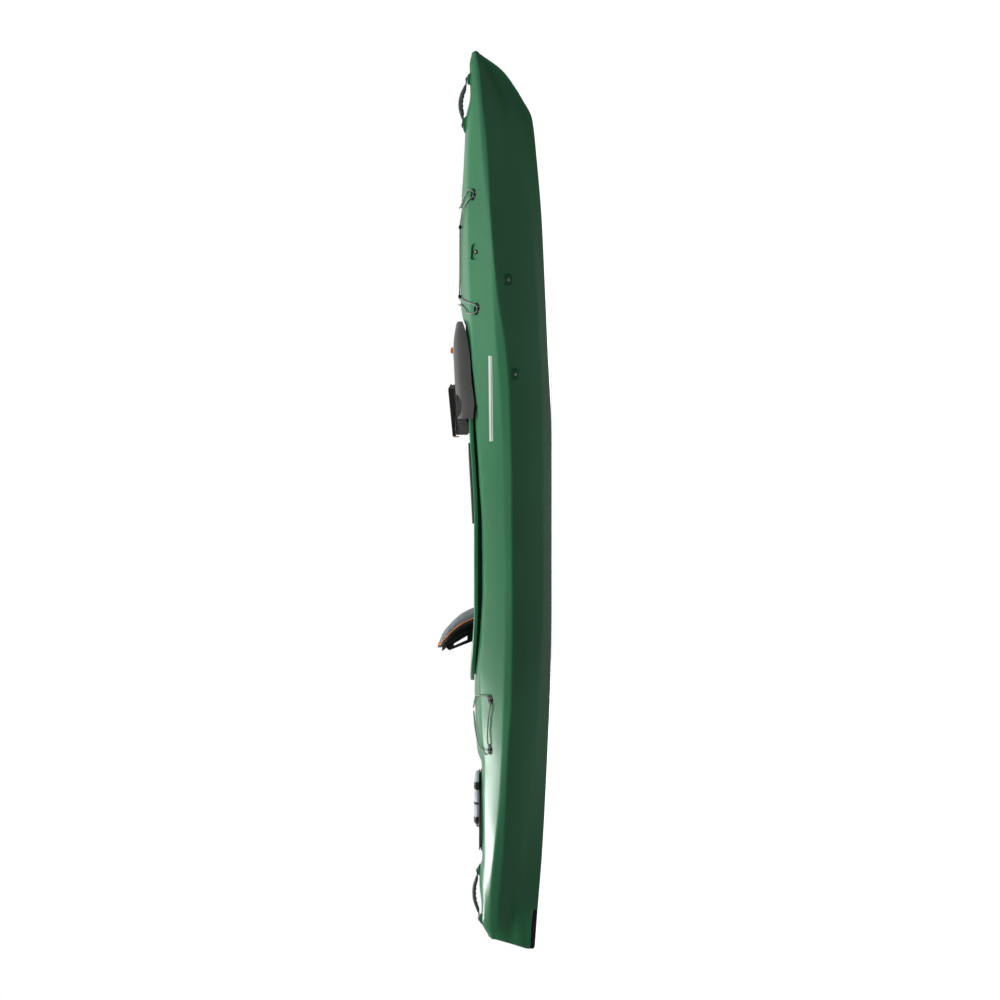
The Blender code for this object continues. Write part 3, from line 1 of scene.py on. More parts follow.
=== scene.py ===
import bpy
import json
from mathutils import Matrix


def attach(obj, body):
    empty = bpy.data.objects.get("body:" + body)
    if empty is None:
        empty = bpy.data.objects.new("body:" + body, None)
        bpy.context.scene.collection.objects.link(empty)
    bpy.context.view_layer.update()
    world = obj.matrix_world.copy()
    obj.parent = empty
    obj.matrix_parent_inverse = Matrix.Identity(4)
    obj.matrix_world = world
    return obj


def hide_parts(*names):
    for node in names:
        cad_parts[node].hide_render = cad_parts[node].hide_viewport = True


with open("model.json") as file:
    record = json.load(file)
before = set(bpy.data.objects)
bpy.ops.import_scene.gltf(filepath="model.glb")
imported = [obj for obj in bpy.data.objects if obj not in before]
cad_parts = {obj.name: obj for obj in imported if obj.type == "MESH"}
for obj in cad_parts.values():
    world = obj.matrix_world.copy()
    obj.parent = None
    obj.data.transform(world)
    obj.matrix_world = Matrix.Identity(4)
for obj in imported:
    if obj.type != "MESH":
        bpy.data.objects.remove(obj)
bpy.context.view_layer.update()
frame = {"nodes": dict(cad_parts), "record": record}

import json
import math

import bmesh
import bpy
from mathutils import Matrix, Vector
from mathutils.bvhtree import BVHTree

# ------------------------------------------------------------ camera
CAMERA_DISTANCE = 30.0
CAMERA_HEIGHT = 0.213
SEEN_WIDTH = 4.136                  # metres across the view at the kayak's middle
SENSOR = 36.0


def make_camera():
    """A level view of the starboard side, rolled so that the bow is at the top of the picture."""
    lens = bpy.data.cameras.new("camera")
    lens.sensor_width = SENSOR
    lens.lens = SENSOR * CAMERA_DISTANCE / SEEN_WIDTH
    lens.clip_end = 200.0
    camera = bpy.data.objects.new("camera", lens)
    right, up, back = Vector((0, 0, -1)), Vector((1, 0, 0)), Vector((0, -1, 0))
    turn = Matrix((right, up, back)).transposed().to_4x4()
    camera.matrix_world = Matrix.Translation((0.0, -CAMERA_DISTANCE, CAMERA_HEIGHT)) @ turn
    bpy.context.scene.collection.objects.link(camera)
    bpy.context.scene.camera = camera


# ------------------------------------------------------------ dimensions in metres, mostly the CAD part's
GAP = 0.0003
SKIN = 0.005
COCKPIT_CENTRE_X = -0.010
COCKPIT_HALF_LENGTH = 0.705
COCKPIT_HALF_WIDTH = 0.270
COAMING_LIP = 0.030
COAMING_LIP_DEPTH = 0.017
COAMING_SKIN = 0.0055
COAMING_STEPS = 220
HATCH_X = -1.280
HATCH_HALF_LENGTH = 0.168
HATCH_HALF_WIDTH = 0.118
HATCH_SEAT_Z = 0.2885
HATCH_WELL = (-1.515, -1.475, -1.085, -1.05)
HATCH_NECK_INSET = 0.030
HATCH_PANEL = (-1.352, -1.118)
OVAL_STEPS = 120
HATCH_POWER = 2.3                   # how square its oval outline is
PANEL_POWER = 2.8
POCKET_DEPTH = 0.008
BUNGEE_RADIUS = 0.003
REAR_EYES = [(-1.0245, 0.256), (-0.822, 0.254)]
FRONT_EYES = [(0.784, 0.307), (1.258, 0.322)]
BLANK_RECESS = (1.0205, 0.317)
EYE_SIZE = (0.024, 0.0145)          # half length and half width of the moulded recesses
CAP_SIZE = (0.033, 0.018)
BRACE_SIZE = (0.0225, 0.0145)
EYE_LIFT = 0.0066                   # of the cord over its recess's floor
BRACE_SCREWS = [(0.515, 0.149), (0.904, 0.178)]
BRACE_DEPTH = 0.0205
SCREW_RADIUS = 0.003
HANDLE_SCREW_RADIUS = 0.0025
HANDLE_SCREWS = {
    "bow_handle_screw_rear": (1.550, 0, 0.3655), "bow_handle_screw_front": (1.738, 0, 0.3485),
    "stern_handle_screw_front": (-1.5325, 0, 0.3045), "stern_handle_screw_rear": (-1.730, 0, 0.2965),
}
HANDLE_BOSSES = [
    [(1.505, 0.3520), (1.520, 0.3600), (1.530, 0.3645), (1.535, 0.3655), (1.572, 0.3655), (1.577, 0.3640),
     (1.588, 0.3530)],
    [(1.712, 0.325), (1.719, 0.3455), (1.723, 0.3485), (1.752, 0.3485), (1.757, 0.3470), (1.772, 0.330)],
    [(-1.558, 0.2945), (-1.549, 0.3030), (-1.545, 0.3045), (-1.520, 0.3045), (-1.515, 0.3030),
     (-1.500, 0.2945)],
    [(-1.760, 0.268), (-1.750, 0.2930), (-1.744, 0.2965), (-1.716, 0.2965), (-1.711, 0.2945),
     (-1.700, 0.268)],
]
BOSS_HALF_WIDTH = 0.014
HANDLE_FOOT = 0.0055
SKID_FRONT_X = -1.694
CONSOLE_BODY_X = 0.333
CONSOLE_FRONT_X = 0.737
CONSOLE_SKIN = 0.0035
CUP_X, CUP_Y, CUP_RADIUS, CUP_FLOOR_Z, CUP_DEPTH = 0.388, 0.186, 0.040, 0.3385, 0.0485
LID_AXIS = Vector((0.466, 0.0, 0.4135))
LID_PIN_RADIUS = 0.002
SEAT_REAR_X = -0.475
SEAT_FRONT_X = -0.070
SEAT_HALF_WIDTH = 0.185
CUSHION_HALF_WIDTH = 0.157
CUSHION_THICKNESS = 0.029
SEAT_EAR = (0.1755, 0.1845)
BACK_AXIS = Vector((-0.455, 0.0, 0.120))
HINGE_PIN_RADIUS = 0.004
CORD_LIFT = 0.0050                  # of a cord's middle over the deck
CORD_SPACING = 0.005                # of the points along a cord
BEAD_XS = [0.840, 1.127]
BEAD_Y = 0.035
BEAD_STOPS = (4, 9)                 # the beads' places in front_deck_run's points
CROSSINGS = {
    "rear": [
        [(-1.033, 0.210), (-1.010, 0.172), (-0.972, 0.125), (-0.932, 0.080), (-0.896, 0.040), (-0.874, 0.0)],
        [(-0.803, 0.205), (-0.812, 0.160), (-0.828, 0.110), (-0.845, 0.055), (-0.856, 0.0)],
    ],
    "front": [
        [(0.768, 0.190), (0.782, 0.148), (0.797, 0.100), (0.806, 0.050), (0.809, 0.0)],
        [(1.272, 0.118), (1.254, 0.095), (1.232, 0.064), (1.214, 0.032), (1.208, 0.0)],
    ],
}
SIDES = [("port", 1), ("starboard", -1)]

# Lines of the hull from stern to bow: (half-breadth points, height points).
KEEL_CENTRE = (
    [(-1.8495, 0.0), (1.8485, 0.0)],
    [(-1.8495, 0.070), (-1.694, 0.0575), (-1.445, 0.038), (-1.03, 0.0165), (-0.71, 0.004), (-0.45, 0.0),
     (0.25, 0.0), (0.63, 0.0165), (0.92, 0.029), (1.17, 0.041), (1.42, 0.062), (1.577, 0.080),
     (1.656, 0.1195), (1.71, 0.153), (1.775, 0.202), (1.8485, 0.300)],
)
KEEL_EDGE = (
    [(-1.8495, 0.009), (-1.6, 0.013), (-1.2, 0.028), (-0.5, 0.050), (0.3, 0.050), (1.0, 0.028),
     (1.5, 0.011), (1.8485, 0.005)],
    KEEL_CENTRE[1],
)
CHINE = (
    [(-1.8545, 0.010), (-1.72, 0.013), (-1.66, 0.030), (-1.55, 0.062), (-1.24, 0.132), (-0.91, 0.195),
     (-0.6, 0.236), (-0.2, 0.255), (0.2, 0.248), (0.5, 0.222), (0.8, 0.178), (1.15, 0.112), (1.4, 0.058),
     (1.55, 0.023), (1.61, 0.012), (1.8515, 0.006)],
    [(-1.8545, 0.099), (-1.652, 0.116), (-1.239, 0.083), (-0.908, 0.058), (-0.618, 0.041), (-0.41, 0.033),
     (0.21, 0.033), (0.416, 0.037), (0.767, 0.056), (1.16, 0.085), (1.42, 0.110), (1.577, 0.130),
     (1.66, 0.165), (1.775, 0.235), (1.8515, 0.305)],
)
SIDE = (
    [(-1.8335, 0.011), (-1.715, 0.014), (-1.66, 0.042), (-1.6, 0.075), (-1.4, 0.155), (-1.0, 0.262),
     (-0.5, 0.332), (0.0, 0.343), (0.5, 0.316), (0.9, 0.250), (1.2, 0.175), (1.45, 0.096), (1.57, 0.050),
     (1.625, 0.024), (1.67, 0.013), (1.8545, 0.0065)],
    [(-1.8335, 0.165), (-1.65, 0.168), (-1.239, 0.142), (-0.908, 0.124), (-0.618, 0.110), (-0.41, 0.105),
     (0.21, 0.106), (0.416, 0.112), (0.767, 0.142), (1.16, 0.176), (1.42, 0.196), (1.577, 0.206),
     (1.66, 0.226), (1.775, 0.270), (1.8545, 0.3095)],
)
GUNWALE = (
    [(-1.8145, 0.012), (-1.70, 0.052), (-1.60, 0.098), (-1.40, 0.176), (-1.20, 0.237), (-1.0, 0.285),
     (-0.7, 0.334), (-0.4, 0.361), (-0.1, 0.3685), (0.2, 0.362), (0.45, 0.345), (0.7, 0.315), (0.95, 0.270),
     (1.2, 0.212), (1.45, 0.142), (1.65, 0.078), (1.78, 0.034), (1.8555, 0.008)],
    [(-1.8145, 0.232), (-1.623, 0.215), (-1.446, 0.1985), (-1.239, 0.190), (-0.991, 0.178), (-0.825, 0.166),
     (-0.41, 0.163), (0.0, 0.165), (0.416, 0.174), (0.622, 0.190), (0.871, 0.2275), (1.181, 0.252),
     (1.45, 0.2647), (1.656, 0.2854), (1.80, 0.299), (1.8555, 0.314)],
)
DECK_EDGE = (
    [(-1.8135, 0.011), (-1.70, 0.049), (-1.60, 0.094), (-1.40, 0.171), (-1.20, 0.231), (-1.0, 0.278),
     (-0.7, 0.326), (-0.4, 0.353), (-0.1, 0.3605), (0.2, 0.354), (0.45, 0.337), (0.7, 0.307), (0.95, 0.262),
     (1.2, 0.205), (1.45, 0.136), (1.65, 0.073), (1.78, 0.030), (1.8535, 0.007)],
    [(-1.8135, 0.246), (-1.74, 0.256), (-1.623, 0.252), (-1.446, 0.2357), (-1.239, 0.215), (-0.991, 0.2027),
     (-0.825, 0.1985), (-0.41, 0.190), (0.0, 0.1944), (0.416, 0.211), (0.622, 0.2275), (0.871, 0.244),
     (1.181, 0.2647), (1.45, 0.288), (1.656, 0.302), (1.80, 0.314), (1.8535, 0.320)],
)
SHOULDER = (
    [(-1.8065, 0.006), (-1.70, 0.028), (-1.58, 0.062), (-1.45, 0.100), (-1.28, 0.145), (-1.05, 0.185),
     (-0.85, 0.215), (-0.7, 0.247), (-0.5, 0.288), (-0.25, 0.307), (0.0, 0.308), (0.25, 0.294), (0.45, 0.268),
     (0.65, 0.232), (0.85, 0.195), (1.1, 0.148), (1.35, 0.098), (1.55, 0.058), (1.7, 0.032), (1.8495, 0.005)],
    [(-1.8065, 0.254), (-1.738, 0.284), (-1.6, 0.288), (-1.45, 0.2825), (-1.1, 0.2825), (-0.9, 0.294),
     (-0.726, 0.2985), (-0.577, 0.2895), (-0.37, 0.281), (-0.105, 0.2854), (0.085, 0.2978), (0.333, 0.3143),
     (0.55, 0.325), (0.788, 0.335), (0.982, 0.343), (1.247, 0.347), (1.45, 0.345), (1.62, 0.334),
     (1.75, 0.330), (1.8495, 0.325)],
)
DECK_CENTRE = (
    [(-1.8005, 0.0), (1.8445, 0.0)],
    [(-1.8005, 0.262), (-1.738, 0.292), (-1.673, 0.2895), (-1.585, 0.2995), (-1.515, 0.297), (-1.475, 0.2850),
     (-1.085, 0.2850), (-1.05, 0.303), (-1.00, 0.311), (-0.866, 0.316), (-0.78, 0.318), (-0.70, 0.312),
     (-0.5, 0.300), (0.0, 0.305), (0.3, 0.318), (0.6, 0.336), (0.70, 0.348), (0.76, 0.370), (0.83, 0.378),
     (0.995, 0.378), (1.243, 0.374), (1.354, 0.367), (1.50, 0.360), (1.577, 0.357), (1.674, 0.337),
     (1.754, 0.339), (1.80, 0.341), (1.8445, 0.331)],
)
STERN_X, BOW_X = KEEL_CENTRE[0][0][0], KEEL_CENTRE[0][-1][0]
HULL_LINES = [KEEL_CENTRE, KEEL_EDGE, CHINE, SIDE, GUNWALE, DECK_EDGE, SHOULDER, DECK_CENTRE]
HULL_BULGES = [0.0, 0.012, 0.05, 0.03, 0.0, 0.02, 0.025]    # how far each facet stands out
COARSE_POINTS = [0, 1, 1, 1, 0, 1, 2]       # points between two lines in the plain section
FINE_POINTS = [2, 6, 6, 6, 2, 6, 9]         # and in the visible one
EDGE_ROUNDING = [0.0, 0.012, 0.016, 0.020, 0.007, 0.007, 0.016, 0.030]     # at each line
MOST_ROUNDING = 0.36                        # of a facet's length
HULL_STATIONS = 300
HOLLOW_STATIONS = 110
HOLLOW_ENDS = (-1.60, 1.54)
NOSE_RADIUS = 0.003                         # at the stern's and the bow's upright edges

RIM_HEIGHT = [(-0.745, 0.337), (-0.693, 0.335), (-0.428, 0.320), (-0.105, 0.320), (0.0, 0.3226),
              (0.279, 0.339), (0.5, 0.347), (0.725, 0.357)]
CONSOLE_SKIRT = [(0.333, 0.3225), (0.40, 0.3190), (0.484, 0.3298), (0.585, 0.336), (0.641, 0.3445),
                 (0.70, 0.356), (0.737, 0.3680)]
CONSOLE_TOP = [(0.333, 0.388), (0.4645, 0.399), (0.57, 0.4045), (0.6075, 0.4065), (0.66, 0.4045),
               (0.709, 0.3975), (0.728, 0.3940), (0.737, 0.3885)]
SCOOP_CENTRE = (0.384, 0.404)
SCOOP_SIZE = (0.054, 0.034)
BACK_HALF_WIDTH = 0.185
THIGH_PAD_ENDS = (-0.097, 0.234)
BACK_WRAP = 0.034
BACK_SHELL_LINE = [(0.112, -0.452), (0.20, -0.462), (0.30, -0.494), (0.341, -0.509), (0.376, -0.527),
                   (0.403, -0.548), (0.430, -0.573), (0.459, -0.598)]
BACK_PAD_LINE = [(0.150, -0.408), (0.24, -0.412), (0.3226, -0.432), (0.366, -0.453), (0.393, -0.4735),
                 (0.4177, -0.498), (0.4446, -0.527), (0.463, -0.556), (0.470, -0.585)]


# ------------------------------------------------------------ general helpers
def mix(low, high, part):
    return low + (high - low) * part


def clamped(part):
    return min(1.0, max(0.0, part))


def on_line(points, x):
    """Height of a smooth curve through (x, value) points that never overshoots them."""
    if x <= points[0][0]:
        return points[0][1]
    if x >= points[-1][0]:
        return points[-1][1]
    index = max(i for i in range(len(points) - 1) if points[i][0] <= x)

    def slope(i):
        return (points[i + 1][1] - points[i][1]) / (points[i + 1][0] - points[i][0])

    def tangent(i):
        if i == 0:
            return slope(0)
        if i == len(points) - 1:
            return slope(i - 1)
        before, after = slope(i - 1), slope(i)
        return 2 * before * after / (before + after) if before * after > 0 else 0.0

    width = points[index + 1][0] - points[index][0]
    t = (x - points[index][0]) / width
    start, end = points[index][1], points[index + 1][1]
    return (
        start * (1 + 2 * t) * (1 - t) ** 2 + end * t * t * (3 - 2 * t)
        + width * (tangent(index) * t * (1 - t) ** 2 + tangent(index + 1) * t * t * (t - 1))
    )


def loft(rings, closed=False):
    """Skins closed rings of equal length, and caps the two ends or joins them."""
    mesh = bmesh.new()
    made = [[mesh.verts.new(point) for point in ring] for ring in rings]
    count = len(made[0])
    following = made[1:] + (made[:1] if closed else [])
    for near, far in zip(made, following):
        for i in range(count):
            j = (i + 1) % count
            mesh.faces.new((near[i], near[j], far[j], far[i]))
    if not closed:
        mesh.faces.new(made[0])
        mesh.faces.new(made[-1])
    bmesh.ops.recalc_face_normals(mesh, faces=mesh.faces)
    return mesh


def mirrored(point, side=-1):
    return Vector((point.x, point.y * side, point.z))


def outward(step):
    """A step along a section, turned to face out of it."""
    return Vector((0, step.z, -step.y))


def bend(start, corner, end, t):
    """A point of the curve that rounds a corner."""
    return start * (1 - t) ** 2 + corner * (2 * t * (1 - t)) + end * t ** 2


def superellipse(angle, half_length, half_width, power_along, power_across):
    along, across = math.cos(angle), math.sin(angle)
    return (half_length * math.copysign(abs(along) ** power_along, along),
            half_width * math.copysign(abs(across) ** power_across, across))


def side_prism(outline, y_low, y_high):
    return loft([[Vector((x, y, z)) for x, z in outline] for y in (y_low, y_high)])


def deck_prism(outline, z_low, z_high):
    return loft([[Vector((x, y, z)) for x, y in outline] for z in (z_low, z_high)])


def box(low, high, place=None):
    corners = [(low[0], low[1]), (high[0], low[1]), (high[0], high[1]), (low[0], high[1])]
    mesh = deck_prism(corners, low[2], high[2])
    if place:
        mesh.transform(place)
        bmesh.ops.recalc_face_normals(mesh, faces=mesh.faces)
    return mesh


def oval(centre_x, half_length, half_width, count, power=2.0):
    points = []
    for i in range(count):
        angle = 2 * math.pi * (i + 0.5) / count
        x, y = superellipse(angle, half_length, half_width, 2 / power, 2 / power)
        points.append((centre_x + x, y))
    return points


def oval_ring(centre_x, half_length, half_width, z, power):
    return [Vector((x, y, z)) for x, y in oval(centre_x, half_length, half_width, OVAL_STEPS, power)]


def frame_along(normal, along=Vector((1, 0, 0))):
    z_axis = normal.normalized()
    x_axis = (along - z_axis * along.dot(z_axis)).normalized()
    y_axis = z_axis.cross(x_axis)
    return Matrix((x_axis, y_axis, z_axis)).transposed().to_4x4()


def turned(profile, place, segments=32, stretch=1.0, closed=False):
    """A solid of revolution about a placement's Z, from (radius, height) points, stretched along its X."""
    rings = []
    for radius, height in profile:
        ring = []
        for i in range(segments):
            angle = 2 * math.pi * i / segments
            point = Vector((stretch * radius * math.cos(angle), radius * math.sin(angle), height))
            ring.append(place @ point)
        rings.append(ring)
    return loft(rings, closed)


def cylinder(radius, low, high, place, segments):
    return turned([(radius, low), (radius, high)], place, segments)


def crosswise_bore(centre, reach, radius, sides):
    """A hole for a pin that lies across the boat."""
    return tube([centre + Vector((0, y, 0)) for y in (-reach, reach)], radius + GAP, sides)


def pocket(place, half_length, half_width, power, levels):
    """A rounded form along a placement's Z; levels give how much wider it is at each height."""
    rings = []
    for wider, z in levels:
        outline = oval(0.0, half_length + wider, half_width + wider, 56, power)
        rings.append([place @ Vector((x, y, z)) for x, y in outline])
    return loft(rings)


def tube(points, radius, sides=12, closed=False, uv_length=None):
    """A tube along a list of points; with uv_length it stores where each face is along and around it."""
    rings = []
    first = (points[1] - points[0]).normalized()
    reference = Vector((0, 1, 0)) if abs(first.y) < 0.9 else Vector((1, 0, 0))
    total = len(points)
    for i, point in enumerate(points):
        before = points[i - 1] if closed or i else points[0]
        after = points[(i + 1) % total] if closed or i < total - 1 else points[-1]
        ahead = (after - before).normalized()
        across = (reference - ahead * reference.dot(ahead)).normalized()
        reference = across
        up = ahead.cross(across)
        rings.append([
            point + radius * (math.cos(a) * across + math.sin(a) * up)
            for a in (2 * math.pi * k / sides for k in range(sides))
        ])
    mesh = loft(rings, closed)
    if uv_length:
        layer = mesh.loops.layers.uv.new("along")
        mesh.verts.index_update()
        mesh.faces.ensure_lookup_table()
        distances = [0.0]
        for a, b in zip(points, points[1:] + points[:1]):
            distances.append(distances[-1] + (b - a).length)
        for face in mesh.faces:
            if len(face.verts) != 4:
                continue
            where = [(loop.vert.index // sides, loop.vert.index % sides) for loop in face.loops]
            wraps_ring = max(r for r, _ in where) - min(r for r, _ in where) > 1
            wraps_side = max(s for _, s in where) - min(s for _, s in where) > 1
            for loop, (ring, side) in zip(face.loops, where):
                ring = total if wraps_ring and ring == 0 else ring
                side = sides if wraps_side and side == 0 else side
                loop[layer].uv = (distances[ring] / uv_length, side / sides)
    return mesh


def merged(meshes):
    whole = bmesh.new()
    for part in meshes:
        data = bpy.data.meshes.new("part")
        part.to_mesh(data)
        part.free()
        whole.from_mesh(data)
        bpy.data.meshes.remove(data)
    return whole


def new_object(name, mesh):
    data = bpy.data.meshes.new(name)
    mesh.to_mesh(data)
    mesh.free()
    made = bpy.data.objects.new(name, data)
    bpy.context.scene.collection.objects.link(made)
    return made


def taken_back(piece):
    """A piece's mesh, with its object removed."""
    mesh = bmesh.new()
    mesh.from_mesh(piece.data)
    bpy.data.objects.remove(piece, do_unlink=True)
    return mesh


def cut(target, operation, mesh):
    """Adds solids to a piece or takes them away, at once."""
    tool = new_object("tool", mesh)
    change = target.modifiers.new("change", "BOOLEAN")
    change.operation = operation
    change.object = tool
    change.solver = "EXACT"
    settle(target)
    bpy.data.objects.remove(tool, do_unlink=True)


def settle(piece):
    """Makes the result of a piece's modifiers its own mesh."""
    bpy.context.view_layer.update()
    evaluated = piece.evaluated_get(bpy.context.evaluated_depsgraph_get())
    data = bpy.data.meshes.new_from_object(evaluated)
    piece.modifiers.clear()
    old = piece.data
    piece.data = data
    bpy.data.meshes.remove(old)


def finish_edges(piece, bevel=0.0, segments=3, sharp=34.0, bevel_angle=32.0):
    """Rounds a piece's edges and shades it smoothly between its real creases."""
    if bevel:
        edge = piece.modifiers.new("rounding", "BEVEL")
        edge.width = bevel
        edge.segments = segments
        edge.limit_method = "ANGLE"
        edge.angle_limit = math.radians(bevel_angle)
        settle(piece)
    piece.data.shade_smooth()
    piece.data.set_sharp_from_angle(angle=math.radians(sharp))
    even = piece.modifiers.new("even_shading", "WEIGHTED_NORMAL")
    even.keep_sharp = True
    even.weight = 80


def place_piece(piece, body, finish, nodes=()):
    """Gives a piece its material and body, and hides the CAD nodes that it stands for."""
    piece.data.materials.clear()
    piece.data.materials.append(finish)
    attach(piece, body)
    if nodes:
        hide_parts(*nodes)


def add_piece(name, mesh, body, finish, nodes=(), **edges):
    """Makes a piece from a mesh, with its edges finished, and places it."""
    piece = new_object(name, mesh)
    finish_edges(piece, **edges)
    place_piece(piece, body, finish, nodes)
    return piece


def body_of(node):
    return next(body for body, members in frame["record"]["behaviour"]["bodies"].items() if node in members)


def refined(node, finish, bevel, segments=3):
    """The CAD node's own shape with rounded edges; its nearly flat facets are joined first."""
    mesh = bmesh.new()
    mesh.from_mesh(frame["nodes"][node].data)
    bmesh.ops.remove_doubles(mesh, verts=mesh.verts, dist=1e-5)
    bmesh.ops.dissolve_limit(mesh, angle_limit=math.radians(1.2), verts=mesh.verts, edges=mesh.edges)
    add_piece(node + "_piece", mesh, body_of(node), finish, [node], bevel=bevel, segments=segments)


# ------------------------------------------------------------ materials
def shader_material(name, colour, roughness, metallic=0.0):
    made = bpy.data.materials.new(name)
    made.use_nodes = True
    tree = made.node_tree
    shader = tree.nodes["Principled BSDF"]
    shader.inputs["Base Color"].default_value = (*colour, 1.0)
    shader.inputs["Roughness"].default_value = roughness
    shader.inputs["Metallic"].default_value = metallic
    return made, tree, shader


def feed(shader, name, value):
    """Drives one of the shader's inputs by a texture."""
    shader.id_data.links.new(value, shader.inputs[name])


def add_node(tree, kind, inputs=None, **values):
    node = tree.nodes.new(kind)
    for key, value in values.items():
        setattr(node, key, value)
    for key, value in (inputs or {}).items():
        if isinstance(value, bpy.types.NodeSocket):
            tree.links.new(value, node.inputs[key])
        else:
            node.inputs[key].default_value = value
    return node


def place_of(tree, stretch=(1.0, 1.0, 1.0)):
    """Position on the piece in metres, stretched."""
    where = add_node(tree, "ShaderNodeTexCoord").outputs["Object"]
    return add_node(tree, "ShaderNodeMapping", {"Vector": where, "Scale": stretch}).outputs[0]


def noise(tree, scale, detail=2.0, rough=0.5, stretch=(1.0, 1.0, 1.0)):
    return add_node(tree, "ShaderNodeTexNoise", {
        "Vector": place_of(tree, stretch), "Scale": scale, "Detail": detail, "Roughness": rough,
    }).outputs["Fac"]


def spread(tree, value, low, high, from_low=0.3, from_high=0.7):
    """A value, moved from one range into another."""
    return add_node(tree, "ShaderNodeMapRange", {
        "Value": value, "From Min": from_low, "From Max": from_high, "To Min": low, "To Max": high,
    }).outputs[0]


def tint(tree, colour, factor):
    """A colour multiplied by a varying brightness."""
    product = add_node(tree, "ShaderNodeVectorMath", operation="SCALE")
    product.inputs[0].default_value = colour
    tree.links.new(factor, product.inputs["Scale"])
    return product.outputs[0]


def blended(tree, factor, first, second):
    node = add_node(tree, "ShaderNodeMix", data_type="RGBA")
    tree.links.new(factor, node.inputs[0])
    for index, value in ((6, first), (7, second)):
        if isinstance(value, bpy.types.NodeSocket):
            tree.links.new(value, node.inputs[index])
        else:
            node.inputs[index].default_value = (*value, 1.0)
    return node.outputs[2]


def math_node(tree, operation, first, second=None):
    node = add_node(tree, "ShaderNodeMath", operation=operation)
    for index, value in enumerate((first, second)):
        if isinstance(value, bpy.types.NodeSocket):
            tree.links.new(value, node.inputs[index])
        elif value is not None:
            node.inputs[index].default_value = value
    return node.outputs[0]


def product(tree, first, second):
    return math_node(tree, "MULTIPLY", first, second)


def bump(tree, shader, height, strength, distance):
    previous = shader.inputs["Normal"].links[0].from_socket if shader.inputs["Normal"].links else None
    node = add_node(tree, "ShaderNodeBump", {"Height": height, "Strength": strength, "Distance": distance})
    if previous:
        tree.links.new(previous, node.inputs["Normal"])
    tree.links.new(node.outputs[0], shader.inputs["Normal"])


def moulded(name, colour, roughness, grain=900.0, depth=0.00012, variation=0.10, specular=0.5):
    """Moulded plastic: slight cloudiness of colour and gloss, and a fine surface grain."""
    made, tree, shader = shader_material(name, colour, roughness)
    shader.inputs["Specular IOR Level"].default_value = specular
    cloud = spread(tree, noise(tree, 9.0, 3.0), 1 - variation, 1 + variation)
    feed(shader, "Base Color", tint(tree, colour, cloud))
    feed(shader, "Roughness", spread(tree, noise(tree, 60.0, 3.0), roughness - 0.05, roughness + 0.06))
    bump(tree, shader, noise(tree, grain, 2.0), 0.35, depth)
    return made


def hull_plastic():
    """Rotomoulded polyethylene: deep even colour, soft gloss, orange peel, and light scuffs low down."""
    colour, scuff_colour = (0.034, 0.178, 0.078), (0.16, 0.30, 0.21)
    made, tree, shader = shader_material("hull_polyethylene", colour, 0.3)
    shader.inputs["Specular IOR Level"].default_value = 0.55
    cloud = spread(tree, noise(tree, 2.2, 4.0), 0.90, 1.10)
    speckle = spread(tree, noise(tree, 420.0, 2.0), 0.955, 1.045)
    body_colour = tint(tree, colour, product(tree, cloud, speckle))
    where = add_node(tree, "ShaderNodeSeparateXYZ", {"Vector": place_of(tree)})
    low = spread(tree, where.outputs["Z"], 1.0, 0.0, 0.0, 0.06)
    streaks = spread(tree, noise(tree, 120.0, 4.0, 0.6, (0.05, 1.0, 1.0)), 0.0, 1.0, 0.62, 0.74)
    scuffed = product(tree, product(tree, low, streaks), 0.35)
    feed(shader, "Base Color", blended(tree, scuffed, body_colour, scuff_colour))
    gloss = spread(tree, noise(tree, 14.0, 1.0), 0.31, 0.335)
    feed(shader, "Roughness", math_node(tree, "ADD", gloss, product(tree, scuffed, 0.5)))
    for scale, detail, strength, distance in ((260.0, 2.0, 0.22, 0.00035), (1300.0, 1.0, 0.15, 0.00008),
                                              (11.0, 1.0, 0.25, 0.0012)):
        bump(tree, shader, noise(tree, scale, detail), strength, distance)
    return made


def woven(name, colour, pitch, axes, melange=0.16):
    """Woven seat cloth over foam: crossing threads with a two-tone yarn."""
    made, tree, shader = shader_material(name, colour, 0.85)
    shader.inputs["Sheen Weight"].default_value = 0.25
    shader.inputs["Sheen Roughness"].default_value = 0.5
    where = add_node(tree, "ShaderNodeSeparateXYZ", {"Vector": place_of(tree)})
    turns = [product(tree, where.outputs[axis], 2 * math.pi / pitch) for axis in axes]
    weave = product(tree, *(math_node(tree, "SINE", turn) for turn in turns))
    thread = noise(tree, 700.0, 2.0)
    shade = spread(tree, weave, 1 - melange, 1 + melange, -1.0, 1.0)
    fleck = spread(tree, thread, 0.88, 1.12)
    cloud = spread(tree, noise(tree, 16.0, 3.0), 0.93, 1.07)
    feed(shader, "Base Color", tint(tree, colour, product(tree, product(tree, shade, fleck), cloud)))
    bump(tree, shader, math_node(tree, "ADD", weave, product(tree, thread, 0.8)), 0.6, 0.0005)
    return made


def braided(name, colour, fleck_colour, strands=4.0):
    """Braided cover of shock cord, drawn along and around the cord."""
    made, tree, shader = shader_material(name, colour, 0.75)
    along = add_node(tree, "ShaderNodeUVMap", uv_map="along")
    where = add_node(tree, "ShaderNodeSeparateXYZ", {"Vector": along.outputs[0]})
    turn = product(tree, where.outputs["Y"], 2 * math.pi * strands)
    reach = product(tree, where.outputs["X"], 2 * math.pi)
    right, left = (math_node(tree, "SINE", math_node(tree, way, reach, turn)) for way in ("ADD", "SUBTRACT"))
    braid = product(tree, right, left)
    mask = spread(tree, right, 0.0, 1.0, 0.80, 0.92)
    shade = tint(tree, colour, spread(tree, braid, 0.75, 1.25, -1.0, 1.0))
    feed(shader, "Base Color", blended(tree, mask, shade, fleck_colour))
    bump(tree, shader, braid, 0.7, 0.0004)
    return made


